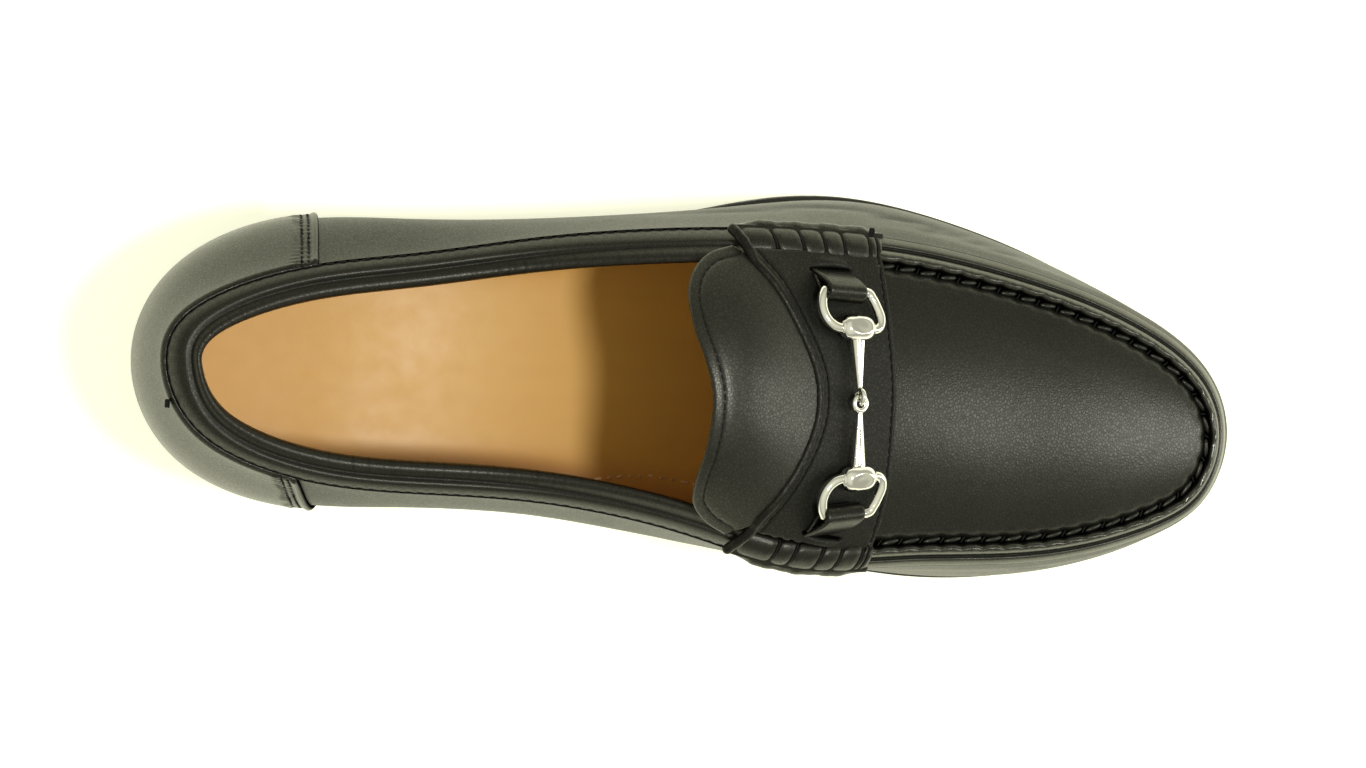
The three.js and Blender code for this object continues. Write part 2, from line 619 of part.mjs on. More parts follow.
// A point above the saddle, up along the surface's own normal
function overSaddle([shareX, shareY], up) {
  const [x, y, reach] = [shareX * LENGTH, shareY * BALL_WIDTH, 4];
  const fall = [
    (saddleHeight(x - reach, y) - saddleHeight(x + reach, y)) / (2 * reach),
    (saddleHeight(x, y - reach) - saddleHeight(x, y + reach)) / (2 * reach),
  ];
  const normal = new THREE.Vector3(fall[0], fall[1], 1).normalize();
  return new THREE.Vector3(x, y, saddleHeight(x, y)).addScaledVector(normal, up);
}

// A closed ring of wire through plan points in the plane of two directions
function wireRing(centre, along, across, outline, radius, sides) {
  const normal = new THREE.Vector3().crossVectors(along, across).normalize();
  const points = outline.map(([a, b]) => centre.clone().addScaledVector(along, a).addScaledVector(across, b));
  const rings = points.map((point, i) => {
    const before = points[(i + points.length - 1) % points.length];
    const after = points[(i + 1) % points.length];
    const side = new THREE.Vector3().subVectors(after, before).normalize().cross(normal);
    return Array.from({ length: sides }, (_, k) => {
      const angle = (2 * Math.PI * k) / sides;
      const p = point.clone().addScaledVector(side, radius * Math.cos(angle));
      return p.addScaledVector(normal, radius * Math.sin(angle)).toArray();
    });
  });
  return solid(geometryOf(ringWalls([...rings, rings[0]])));
}

// A D-shaped outline: straight in the tab, its front shoulder drawn in, straight again through the barrel
const RING_SHAPE = [
  [-0.46, 0],
  [-0.1, 0],
  [0.2, 0],
  [0.29, 0.16],
  [0.36, 0.4],
  [0.415, 0.68],
  [0.385, 0.92],
  [0.27, 1.02],
  [-0.02, 1],
  [-0.3, 1.03],
  [-0.46, 0.9],
  [-0.55, 0.68],
  [-0.58, 0.4],
  [-0.545, 0.12],
];
function turned(geometry, from, towards) {
  const turn = new THREE.Quaternion().setFromUnitVectors(from, towards);
  return geometry.applyQuaternion(turn);
}

const RING_LIFT = TAB_LEATHER + CLEARANCE + RING_WIRE;
const BARREL_LIFT = BARREL_RADIUS + 0.1;
const LINK_LIFT = EYE_RADIUS + EYE_WIRE + 0.1;
const linkPoint = overSaddle(LINK, LINK_LIFT);
const linkLine = new THREE.Vector3()
  .subVectors(overSaddle(BIT.outer.barrel, BARREL_LIFT), overSaddle(BIT.inner.barrel, BARREL_LIFT))
  .normalize();

function bitHalf(spec, side) {
  const tabPoint = overSaddle(spec.tab, RING_LIFT);
  const barrelPoint = overSaddle(spec.barrel, BARREL_LIFT);
  const eyePoint = linkPoint.clone().addScaledVector(linkLine, (side * EYE_RADIUS) / 2);
  const across = new THREE.Vector3().subVectors(barrelPoint, tabPoint);
  const reach = across.length();
  across.normalize();
  const share = RING_WIDTH / 2 / LENGTH;
  const [x, y] = spec.barrel;
  const forward = overSaddle([x + share, y], 0).sub(overSaddle([x - share, y], 0));
  const along = forward.clone().addScaledVector(across, -forward.dot(across)).normalize();
  const width = RING_WIDTH - 2 * RING_WIRE;
  const outline = RING_SHAPE.map(([a, b]) => [a * width, b * reach]);
  const ring = wireRing(tabPoint, along, across, outline, RING_WIRE, 8);
  const bore = wireRing(tabPoint, along, across, outline, RING_WIRE + CLEARANCE, 8);

  const profile = [
    [0, -0.5],
    [0.72, -0.46],
    [0.97, -0.25],
    [1, 0],
    [0.97, 0.25],
    [0.72, 0.46],
    [0, 0.5],
  ].map(([r, y]) => new THREE.Vector2(r * BARREL_RADIUS, y * BARREL_LENGTH));
  const barrelShape = turned(new THREE.LatheGeometry(profile, 10), new THREE.Vector3(0, 1, 0), along);
  const barrel = solid(barrelShape.translate(...barrelPoint.toArray()));

  const barLine = new THREE.Vector3().subVectors(eyePoint, barrelPoint);
  const barLength = barLine.length() - EYE_RADIUS;
  barLine.normalize();
  const start = barrelPoint.clone().addScaledVector(barLine, RING_WIRE + 2 * CLEARANCE);
  const shortened = barLength - RING_WIRE - 2 * CLEARANCE;
  const barShape = new THREE.CylinderGeometry(BAR_THIN, BAR_THICK, shortened, 10);
  const middle = start.clone().addScaledVector(barLine, shortened / 2);
  const bar = solid(turned(barShape, new THREE.Vector3(0, 1, 0), barLine).translate(...middle.toArray()));

  const eyeRing = new THREE.TorusGeometry(EYE_RADIUS, EYE_WIRE, 7, 14);
  const sideways = forward.clone().addScaledVector(linkLine, -forward.dot(linkLine)).normalize();
  const upright = new THREE.Vector3().crossVectors(sideways, linkLine);
  const eyeShape = turned(eyeRing, new THREE.Vector3(0, 0, 1), side > 0 ? sideways : upright);
  const eye = solid(eyeShape.translate(...eyePoint.toArray()));
  return { ring, bar: barrel.subtract(bore).add(bar).add(eye), tabPoint, along, across };
}
const outerBit = bitHalf(BIT.outer, 1);
const innerBit = bitHalf(BIT.inner, -1);

// Leather tabs: a strap that comes from the gathered seam, folds round the ring's wire and goes back
const TAB_REACH = 8; // from the fold back to the slit it comes out of
const TAB_SLANT = 0.6; // it runs this much to the heel as it goes back
const TAB_OFFSET = 2.2; // its fold lies this much to the heel of the ring's middle
function leatherTab({ tabPoint, along, across }) {
  const hole = RING_WIRE + CLEARANCE;
  const outerRadius = hole + TAB_LEATHER;
  const shape = new THREE.Shape();
  shape.absarc(0, 0, outerRadius, -Math.PI / 2, Math.PI / 2, false);
  shape.lineTo(-TAB_REACH, -outerRadius + 2 * TAB_LEATHER + CLEARANCE);
  shape.lineTo(-TAB_REACH, -outerRadius);
  const eye = new THREE.Path();
  eye.absarc(0, 0, hole, 0, 2 * Math.PI, true);
  shape.holes.push(eye);
  const extrusion = { depth: TAB_WIDTH, bevelEnabled: false, curveSegments: 10 };
  const geometry = new THREE.ExtrudeGeometry(shape, extrusion);
  geometry.translate(0, 0, -TAB_WIDTH / 2);
  const up = new THREE.Vector3().crossVectors(along, across).normalize();
  const lifted = up.z > 0 ? up : up.negate();
  const sideways = new THREE.Vector3().crossVectors(across, lifted);
  const slanted = across.clone().addScaledVector(along, TAB_SLANT);
  const frame = new THREE.Matrix4().makeBasis(slanted, lifted, sideways);
  const middle = tabPoint.clone().addScaledVector(along, -TAB_OFFSET);
  return solid(geometry.applyMatrix4(frame).translate(...middle.toArray()));
}
const keepOffGather = [
  strip(GATHER.outer[0], GATHER.outer[1], 12, () => boxProfile()),
  strip(LOOP - GATHER.inner[1], LOOP - GATHER.inner[0], 12, () => boxProfile()),
];
function boxProfile() {
  const out = -2 * GATHER_RADIUS - CLEARANCE;
  return [
    [6, -20],
    [6, 20],
    [out, 20],
    [out, -20],
  ];
}
const fitTab = (tab) => keepOffGather.reduce((left, gather) => left.subtract(gather), tab.subtract(saddleForm));
const outerTab = fitTab(leatherTab(outerBit));
const innerTab = fitTab(leatherTab(innerBit));

// Materials and the assembled shoe
const finish = (color, roughness, metalness = 0) =>
  new THREE.MeshStandardMaterial({ color, roughness, metalness });
const blackLeather = finish(0x1d1e1c, 0.42);
const blackEdge = finish(0x131413, 0.5);
const blackRubber = finish(0x161616, 0.8);
const tanLeather = finish(0xc8935a, 0.55);
const silver = finish(0xe6e3d6, 0.14, 1);

const shoe = new THREE.Group();
for (const [name, body, material] of [
  ["outsole", outsole, blackEdge],
  ["heel_stack", heelStack, blackEdge],
  ["heel_top_piece", topPiece, blackRubber],
  ["insole", insole, tanLeather],
  ["upper", upper, blackLeather],
  ["counter", counter, blackLeather],
  ["collar_binding", collarBinding, blackLeather],
  ["gathered_seam_outer", outerGather, blackLeather],
  ["gathered_seam_inner", innerGather, blackLeather],
  ["tongue", tongue, blackLeather],
  ["saddle", saddle, blackLeather],
  ["saddle_piping", saddlePiping, blackLeather],
  ["tab_outer", outerTab, blackLeather],
  ["tab_inner", innerTab, blackLeather],
  ["bit_ring_outer", outerBit.ring, silver],
  ["bit_ring_inner", innerBit.ring, silver],
  ["bit_bar_outer", outerBit.bar, silver],
  ["bit_bar_inner", innerBit.bar, silver],
])
  shoe.add(meshOf(body, name, material));

export default shoe;
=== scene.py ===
import math

import bmesh
import bpy
import numpy as np
from mathutils import Matrix, Vector


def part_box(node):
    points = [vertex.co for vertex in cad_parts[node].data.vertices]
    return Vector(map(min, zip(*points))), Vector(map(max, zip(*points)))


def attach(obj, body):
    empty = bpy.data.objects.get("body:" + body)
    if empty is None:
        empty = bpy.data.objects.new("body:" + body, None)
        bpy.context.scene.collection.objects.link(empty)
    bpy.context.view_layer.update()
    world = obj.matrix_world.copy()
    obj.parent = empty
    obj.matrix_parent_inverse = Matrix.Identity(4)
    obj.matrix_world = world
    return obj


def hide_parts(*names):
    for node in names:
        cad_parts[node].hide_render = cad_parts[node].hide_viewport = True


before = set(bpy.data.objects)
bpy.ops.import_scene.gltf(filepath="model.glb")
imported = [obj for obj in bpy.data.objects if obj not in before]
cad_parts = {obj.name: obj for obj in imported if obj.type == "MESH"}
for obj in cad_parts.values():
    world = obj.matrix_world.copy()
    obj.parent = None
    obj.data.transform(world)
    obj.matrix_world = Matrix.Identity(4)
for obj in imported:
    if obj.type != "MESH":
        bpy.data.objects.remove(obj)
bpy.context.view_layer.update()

# A left bit loafer in black calf, seen from above. Every surface is worked out from the ribs of the last, those
# of the CAD model, so that each piece lies where its solid is. Lengths are in metres.
MM = 0.001

# Camera
# A long lens above the shoe, leaning a little to the heel and the outer side, rolled so that the toe drops.
LEAN_TO_HEEL = math.radians(9)
LEAN_OUTWARD = math.radians(4)
ROLL = math.radians(4.71)
CAMERA_DISTANCE = 880 * MM
LENS_MM = 87.87
SENSOR_MM = 36
LOOKS_AT = Vector((-5.2, -1.0, 30)) * MM
back = Vector((-math.tan(LEAN_TO_HEEL), math.tan(LEAN_OUTWARD), 1)).normalized()
level_up = (Vector((0, 1, 0)) - back * back.y).normalized()
level_right = level_up.cross(back)
camera_right = level_right * math.cos(ROLL) + level_up * math.sin(ROLL)
camera_up = level_up * math.cos(ROLL) - level_right * math.sin(ROLL)
camera_data = bpy.data.cameras.new("camera")
camera_data.lens = LENS_MM
camera_data.sensor_width = SENSOR_MM
camera = bpy.data.objects.new("camera", camera_data)
camera.matrix_world = Matrix.Translation(LOOKS_AT + back * CAMERA_DISTANCE) @ Matrix(
    (camera_right, camera_up, back)
).transposed().to_4x4()
bpy.context.collection.objects.link(camera)
bpy.context.scene.camera = camera

# Light and floor
# A white room that is dimmer halfway up, a small key lamp high over the toe, a wide soft lamp low beyond the
# toe, and a pale floor bright enough to hide most of the shadows.
SKY = [
    # height of a direction and its brightness
    (0.0, 1.6), (0.12, 1.0), (0.28, 0.45), (0.5, 0.46), (0.7, 0.7), (1.0, 0.85),
]
SKY_TINT = (1.0, 1.0, 0.8)
LAMPS_AIM_AT = Vector((0.02, 0, 0.04))
LAMPS = [
    # name, place in metres, width across, length, power
    ("key lamp", (0.27, 0.02, 1.2), 0.16, 0.16, 8.0),
    ("toe lamp", (1.15, -0.04, 0.56), 0.8, 0.3, 3.9),
]
world = bpy.data.worlds.new("room")
bpy.context.scene.world = world
world.use_nodes = True
sky = world.node_tree
sky.nodes.clear()
sky_place = sky.nodes.new("ShaderNodeTexCoord")
sky_axes = sky.nodes.new("ShaderNodeSeparateXYZ")
sky_ramp = sky.nodes.new("ShaderNodeValToRGB")
sky_light = sky.nodes.new("ShaderNodeBackground")
sky_out = sky.nodes.new("ShaderNodeOutputWorld")
for number, (height, bright) in enumerate(SKY):
    marks = sky_ramp.color_ramp.elements
    mark = marks[number] if number < 2 else marks.new(height)
    mark.position = height
    mark.color = (*(bright * part for part in SKY_TINT), 1)
sky.links.new(sky_place.outputs["Generated"], sky_axes.inputs[0])
sky.links.new(sky_axes.outputs["Z"], sky_ramp.inputs["Fac"])
sky.links.new(sky_ramp.outputs["Color"], sky_light.inputs["Color"])
sky.links.new(sky_light.outputs[0], sky_out.inputs["Surface"])
bpy.context.scene.view_settings.view_transform = "Standard"
for name, place, wide, long, power in LAMPS:
    lamp_data = bpy.data.lights.new(name, "AREA")
    lamp_data.shape = "ELLIPSE"
    lamp_data.size = long
    lamp_data.size_y = wide
    lamp_data.energy = power
    lamp = bpy.data.objects.new(name, lamp_data)
    lamp.location = place
    lamp.rotation_euler = (Vector(place) - LAMPS_AIM_AT).to_track_quat("Z", "Y").to_euler()
    bpy.context.collection.objects.link(lamp)

FLOOR_REACH = 3.0
floor_mesh = bpy.data.meshes.new("floor")
floor_corners = [(x * FLOOR_REACH, y * FLOOR_REACH, 0) for x, y in ((-1, -1), (1, -1), (1, 1), (-1, 1))]
floor_mesh.from_pydata(floor_corners, [], [(0, 1, 2, 3)])
floor = bpy.data.objects.new("floor", floor_mesh)
bpy.context.collection.objects.link(floor)
floor_paint = bpy.data.materials.new("floor paint")
floor_paint.use_nodes = True
paint = floor_paint.node_tree.nodes["Principled BSDF"].inputs
paint["Base Color"].default_value = (0.93, 0.93, 0.74, 1)
paint["Roughness"].default_value = 0.9
paint["Specular IOR Level"].default_value = 0.0
paint["Emission Color"].default_value = (1, 1, 0.84, 1)
paint["Emission Strength"].default_value = 0.58
floor_mesh.materials.append(floor_paint)

# Sole
# A leather outsole with a black dressed edge: bevelled below, a fine wheeled line near its top, a shallow
# stitching channel underneath.
SOLE_HIGH = np.array(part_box("outsole")[1])
LENGTH = 2 * SOLE_HIGH[0]
BALL_WIDTH = 2 * SOLE_HIGH[1]
HEEL_HEIGHT = 22 * MM
TOE_SPRING = 11 * MM
SOLE_THICKNESS = 5 * MM
TOE_LIFTS_FROM = 0.76  # share of the length, where the toe spring starts
WAIST_ENDS = 0.6  # share of the length, where the sole has come down to the floor
WAIST_LENGTH = 0.44
# The ribs of the last, from the back of the heel to the toe. sole is the sole's edge and top the line where
# the wall ends, as shares of length and ball width; rise is that line's height above the sole and crown the
# swell of the surface between both sides, as shares of the upper's rise; full and lean swell the wall low and
# high, as shares of ball width.
OUTER_RIBS = [
    # sole x, sole y, top x, top y, rise, full, lean, crown
    (-0.489, -0.049, -0.47, -0.02, 0.6, 0.085, 0.045, 0.0),  # heel back
    (-0.458, 0.176, -0.45, 0.122, 0.588, 0.112, 0.04, 0.03),
    (-0.376, 0.314, -0.367, 0.23, 0.518, 0.1, 0.05, 0.06),
    (-0.268, 0.333, -0.265, 0.287, 0.468, 0.11, 0.035, 0.07),
    (-0.151, 0.353, -0.154, 0.353, 0.532, 0.105, 0.02, 0.11),
    (-0.04, 0.412, -0.04, 0.401, 0.71, 0.075, 0.02, 0.28),  # throat
    (0.05, 0.478, 0.044, 0.416, 0.774, 0.034, 0.04, 0.147),
    (0.141, 0.5, 0.134, 0.412, 0.688, 0.032, 0.05, 0.112),  # ball
    (0.242, 0.449, 0.228, 0.377, 0.588, 0.025, 0.04, 0.097),
    (0.336, 0.356, 0.326, 0.312, 0.475, 0.018, 0.03, 0.087),
    (0.426, 0.221, 0.409, 0.218, 0.338, 0.02, 0.025, 0.066),
    (0.478, 0.093, 0.46, 0.103, 0.248, 0.018, 0.018, 0.03),
    (0.5, -0.054, 0.48, -0.045, 0.206, 0.016, 0.015, 0.0),  # toe tip
]
INNER_RIBS = [
    (-0.452, -0.25, -0.437, -0.182, 0.584, 0.09, 0.05, 0.03),
    (-0.369, -0.336, -0.356, -0.276, 0.53, 0.11, 0.04, 0.06),
    (-0.262, -0.328, -0.262, -0.298, 0.5, 0.105, 0.035, 0.07),
    (-0.141, -0.324, -0.151, -0.303, 0.563, 0.12, 0.03, 0.11),
    (-0.034, -0.363, -0.034, -0.346, 0.73, 0.11, 0.03, 0.28),  # throat
    (0.067, -0.431, 0.067, -0.412, 0.792, 0.03, 0.015, 0.147),
    (0.168, -0.493, 0.168, -0.406, 0.694, 0.002, 0.035, 0.112),  # ball
    (0.268, -0.499, 0.263, -0.395, 0.588, 0.002, 0.04, 0.097),
    (0.362, -0.444, 0.349, -0.362, 0.467, 0.008, 0.035, 0.087),
    (0.44, -0.338, 0.426, -0.29, 0.327, 0.012, 0.02, 0.066),
    (0.483, -0.201, 0.467, -0.192, 0.246, 0.014, 0.015, 0.03),
]
RIBS = np.array(OUTER_RIBS + INNER_RIBS[::-1])
TIP = len(OUTER_RIBS) - 1
LOOP = len(RIBS)


def loop_curve(values):
    """A periodic cubic through one value a rib, smooth in slope and curvature, for places round the shoe."""
    values = np.asarray(values, float)
    one = np.eye(LOOP)
    ties = 4 * one + np.roll(one, 1, 0) + np.roll(one, -1, 0)
    slopes = np.linalg.solve(ties, 3 * (np.roll(values, -1) - np.roll(values, 1)))

    def at(s):
        place = np.mod(s, LOOP)
        i = np.floor(place).astype(int) % LOOP
        j = (i + 1) % LOOP
        t = place - np.floor(place)
        a, b, da, db = values[i], values[j], slopes[i], slopes[j]
        return a + t * (da + t * (3 * (b - a) - 2 * da - db + t * (2 * (a - b) + da + db)))

    return at


sole_x = loop_curve(RIBS[:, 0] * LENGTH)
sole_y = loop_curve(RIBS[:, 1] * BALL_WIDTH)


def smooth(k):
    """0 below 0, 1 above 1, an S between."""
    k = np.clip(k, 0, 1)
    return k * k * (3 - 2 * k)


def sole_underside(x):
    """Height under the sole: the heel's at the seat, an S down to the ball, a square lift at the toe."""
    share = x / LENGTH + 0.5
    lift = np.maximum(0, (share - TOE_LIFTS_FROM) / (1 - TOE_LIFTS_FROM))
    return HEEL_HEIGHT * smooth((WAIST_ENDS - share) / WAIST_LENGTH) + TOE_SPRING * lift**2


def sole_top(x):
    """Height of the sole's upper face, where the upper stands."""
    return sole_underside(x) + SOLE_THICKNESS


def outward(s):
    """Unit direction in plan, square to the sole's edge."""
    dx = sole_x(s + 0.02) - sole_x(s - 0.02)
    dy = sole_y(s + 0.02) - sole_y(s - 0.02)
    size = np.hypot(dx, dy)
    return -dy / size, dx / size


def sole_point(s, inset, height):
    """A point of the sole's outline moved inwards; height gives z from x."""
    nx, ny = outward(s)
    x = sole_x(s) - nx * inset
    y = sole_y(s) - ny * inset
    return np.stack(np.broadcast_arrays(x, y, height(x)), -1)


def grid_faces(rows, columns, wrap_rows=False, wrap_columns=False):
    """Quads between the points of a grid numbered row by row."""
    i = np.arange(rows if wrap_rows else rows - 1)
    j = np.arange(columns if wrap_columns else columns - 1)
    i, j = np.meshgrid(i, j, indexing="ij")
    n, m = (i + 1) % rows, (j + 1) % columns
    return np.stack([i * columns + j, i * columns + m, n * columns + m, n * columns + j], -1).reshape(-1, 4)


def add_piece(name, points, faces, material, stands_for=(), values=None, weld=False):
    """A closed mesh at the origin with its faces turned outwards, riding on the shoe."""
    points = np.asarray(points, float).reshape(-1, 3)
    faces = [face for block in faces for face in np.asarray(block).tolist()]
    mesh = bpy.data.meshes.new(name)
    mesh.from_pydata(points.tolist(), [], faces)
    for key, field in (values or {}).items():
        layer = mesh.attributes.new(key, "FLOAT", "POINT")
        layer.data.foreach_set("value", np.asarray(field, np.float32).reshape(-1))
    work = bmesh.new()
    work.from_mesh(mesh)
    if weld:
        bmesh.ops.remove_doubles(work, verts=work.verts, dist=2e-6)
    if work.calc_volume(signed=True) < 0:
        bmesh.ops.reverse_faces(work, faces=work.faces)
    work.to_mesh(mesh)
    work.free()
    mesh.shade_smooth()
    mesh.materials.append(material)
    piece = bpy.data.objects.new(name, mesh)
    bpy.context.collection.objects.link(piece)
    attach(piece, "root")
    if stands_for:
        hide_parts(*stands_for)


def new_material(name):
    """A material, its tree and its shader."""
    material = bpy.data.materials.new(name)
    material.use_nodes = True
    tree = material.node_tree
    return material, tree, tree.nodes["Principled BSDF"]


def new_group(name, inputs, outputs):
    """An empty shader group; inputs are numbers, given as name and default, and outputs have their kinds."""
    group = bpy.data.node_groups.new(name, "ShaderNodeTree")
    for label, value in inputs:
        socket = group.interface.new_socket(name=label, in_out="INPUT", socket_type="NodeSocketFloat")
        socket.default_value = value
    for label, kind in outputs:
        group.interface.new_socket(name=label, in_out="OUTPUT", socket_type=kind)
    return group, group.nodes.new("NodeGroupInput"), group.nodes.new("NodeGroupOutput")


def math_node(tree, operation, a, b):
    """One sum of two sockets or numbers."""
    node = tree.nodes.new("ShaderNodeMath")
    node.operation = operation
    for socket, value in zip(node.inputs, (a, b)):
        if isinstance(value, (int, float)):
            socket.default_value = value
        else:
            tree.links.new(value, socket)
    return node.outputs[0]


def noise_node(tree, scale, detail=3.0, place=None):
    """Noise over the object's own metres; scale is a socket or a number of features a metre."""
    node = tree.nodes.new("ShaderNodeTexNoise")
    node.inputs["Detail"].default_value = detail
    if place is None:
        place = tree.nodes.new("ShaderNodeTexCoord").outputs["Object"]
    tree.links.new(place, node.inputs["Vector"])
    if isinstance(scale, (int, float)):
        node.inputs["Scale"].default_value = scale
    else:
        tree.links.new(scale, node.inputs["Scale"])
    return node.outputs["Fac"]


# Soft uneven wear: a slow cloud that moves roughness and shade
worn, worn_in, worn_out = new_group(
    "uneven wear",
    [("Size mm", 18.0), ("Amount", 1.0)],
    [("Shade", "NodeSocketFloat"), ("Gloss", "NodeSocketFloat")],
)
worn_scale = math_node(worn, "DIVIDE", 1000.0, worn_in.outputs["Size mm"])
slow = noise_node(worn, worn_scale, 4.0)
fast = noise_node(worn, math_node(worn, "MULTIPLY", worn_scale, 7.0), 4.0)
centred_slow = math_node(worn, "SUBTRACT", slow, 0.5)
centred_fast = math_node(worn, "SUBTRACT", fast, 0.5)
shade_sum = math_node(worn, "ADD", math_node(worn, "MULTIPLY", centred_fast, 0.5), centred_slow)
worn.links.new(math_node(worn, "MULTIPLY", shade_sum, worn_in.outputs["Amount"]), worn_out.inputs["Shade"])
gloss_sum = math_node(worn, "SUBTRACT", centred_slow, math_node(worn, "MULTIPLY", centred_fast, 0.7))
worn.links.new(math_node(worn, "MULTIPLY", gloss_sum, worn_in.outputs["Amount"]), worn_out.inputs["Gloss"])


def use_group(tree, group, **inputs):
    """A group placed in a tree, with its inputs set by name."""
    node = tree.nodes.new("ShaderNodeGroup")
    node.node_tree = group
    for label, value in inputs.items():
        node.inputs[label.replace("_", " ")].default_value = value
    return node


def mixed(tree, factor, a, b):
    """A colour between two, each given as numbers or a socket."""
    node = tree.nodes.new("ShaderNodeMix")
    node.data_type = "RGBA"
    tree.links.new(factor, node.inputs["Factor"])
    for socket, value in ((node.inputs["A"], a), (node.inputs["B"], b)):
        if isinstance(value, tuple):
            socket.default_value = (*value, 1)
        else:
            tree.links.new(value, socket)
    return node.outputs["Result"]


def clouded(tree, wear, dark, light):
    """A base colour that wanders between two shades with the slow cloud."""
    return mixed(tree, math_node(tree, "ADD", wear.outputs["Shade"], 0.5), dark, light)


def roughened(tree, wear, share, base):
    """A roughness of base plus a share of the cloud."""
    return math_node(tree, "ADD", math_node(tree, "MULTIPLY", wear.outputs["Gloss"], share), base)


def bumped(tree, shader, height, depth, distance):
    """Lets a height bend the shader's normal."""
    node = tree.nodes.new("ShaderNodeBump")
    node.inputs["Strength"].default_value = depth
    node.inputs["Distance"].default_value = distance
    tree.links.new(height, node.inputs["Height"])
    tree.links.new(node.outputs["Normal"], shader.inputs["Normal"])


edge_dressing, tree, shader = new_material("edge dressing")
wear = use_group(tree, worn, Size_mm=9.0)
dressed = clouded(tree, wear, (0.006, 0.006, 0.006), (0.016, 0.015, 0.013))
tree.links.new(dressed, shader.inputs["Base Color"])
tree.links.new(math_node(tree, "ADD", wear.outputs["Gloss"], 0.42), shader.inputs["Roughness"])
bumped(tree, shader, noise_node(tree, 900.0, 5.0), 0.25, 0.3 * MM)

ROUND_STEPS = 480
around = np.arange(ROUND_STEPS) * LOOP / ROUND_STEPS
SOLE_EDGE = [
    # inset from the outline and height, in mm, from the underside round the edge to the top
    (7.0, 0.0), (3.4, 0.0), (3.1, 0.35), (2.7, 0.35), (2.4, 0.0), (1.3, 0.05), (0.5, 0.35), (0.12, 0.9),
    (0.0, 1.5), (0.0, 3.0), (0.04, 3.5), (0.35, 3.72), (0.35, 3.86), (0.04, 4.05), (0.05, 4.6), (0.4, 5.0),
    (3.4, 5.0), (7.0, 5.0),
]
sole_rings = np.stack(
    [
        sole_point(around, inset * MM, lambda x, up=up: sole_underside(x) + up * MM)
        for inset, up in SOLE_EDGE
    ],
    1,
)
CHORD = np.linspace(0, 1, 25)


def plate(ring, height):
    """Rows of points across the shoe that fill a ring, with height giving z from x."""
    half = len(ring) // 2
    outer = ring[: half + 1]
    inner = np.concatenate([ring[:1], ring[: half - 1 : -1]])
    rows = outer[:, None] + (inner - outer)[:, None] * CHORD[None, :, None]
    rows[:, 1:-1, 2] = height(rows[:, 1:-1, 0])
    return rows


under = plate(sole_rings[:, 0], sole_underside)
over = plate(sole_rings[:, -1], sole_top)
edge_count = sole_rings.shape[0] * sole_rings.shape[1]
plate_faces = grid_faces(under.shape[0], under.shape[1])
add_piece(
    "outsole_leather",
    np.concatenate([sole_rings.reshape(-1, 3), under.reshape(-1, 3), over.reshape(-1, 3)]),
    [
        grid_faces(len(around), len(SOLE_EDGE), wrap_rows=True),
        plate_faces[:, ::-1] + edge_count,
        plate_faces + edge_count + under.shape[0] * under.shape[1],
    ],
    edge_dressing, ["outsole"], weld=True,
)

# Heel
# Lifts of stacked leather under the seat, each with a rounded edge, and a rubber top piece under them. Lifts
# and top piece taper a little downwards, and the breast is slightly hollow.
HEEL_LENGTH = 68 * MM
HEEL_TAPER = 2.2 * MM
TOP_PIECE = 6 * MM
LIFT_COUNT = 4
HEEL_INSET = 0.6 * MM
BREAST_HOLLOW = 2.2 * MM
breast_x = sole_x(0.0) + HEEL_LENGTH
heel_s = np.linspace(-3.2, 3.2, 400)
heel_plan = sole_point(heel_s, 0.0, lambda x: 0 * x)
heel_s = heel_s[heel_plan[:, 0] < breast_x]
BREAST_STEPS = np.linspace(0, 1, 24)[1:-1]


def heel_ring(inset, height):
    """Outline of the block: round the back by the sole's edge, and across the breast in a slight hollow."""
    side = sole_point(heel_s, inset, lambda x: 0 * x)
    line = side[-1] + (side[0] - side[-1]) * BREAST_STEPS[:, None]
    line[:, 0] -= BREAST_HOLLOW * np.sin(BREAST_STEPS * math.pi)
    ring = np.concatenate([side, line])
    limit = sole_underside(ring[:, 0]) - 0.05 * MM
    ring[:, 2] = np.minimum(height, limit) if height > TOP_PIECE else height
    return ring


def heel_body(name, low, high, material, stands_for):
    """One lift between two heights, its edges eased by 0.3 mm, with flat faces fanned from the middle."""
    heights = [(low, 0.35), (low + 0.12 * MM, 0.1), (low + 0.4 * MM, 0)]
    heights += [(high - 0.4 * MM, 0), (high - 0.12 * MM, 0.1), (high, 0.35)]
    rings = []
    for height, ease in heights:
        taper = HEEL_INSET + HEEL_TAPER * (1 - height / HEEL_HEIGHT)
        rings.append(heel_ring(taper + ease * MM, height))
    rings = np.array(rings)
    sides = rings.shape[1]
    middles = np.array([ring.mean(0) for ring in (rings[0], rings[-1])])
    points = np.concatenate([rings.reshape(-1, 3), middles])
    i = np.arange(sides)
    j = (i + 1) % sides
    last = (len(rings) - 1) * sides
    low_fan = np.stack([np.full(sides, len(points) - 2), i, j], -1)
    high_fan = np.stack([np.full(sides, len(points) - 1), last + j, last + i], -1)
    faces = [grid_faces(len(rings), sides, wrap_columns=True), low_fan[:, ::-1], high_fan[:, ::-1]]
    add_piece(name, points, faces, material, stands_for)


lift_height = (HEEL_HEIGHT - TOP_PIECE) / LIFT_COUNT
for number in range(LIFT_COUNT):
    low = TOP_PIECE + number * lift_height
    high = low + lift_height if number < LIFT_COUNT - 1 else HEEL_HEIGHT + 3 * MM
    stands_for = ["heel_stack"] if number == 0 else []
    heel_body(f"heel_lift_{number + 1}", low, high, edge_dressing, stands_for)

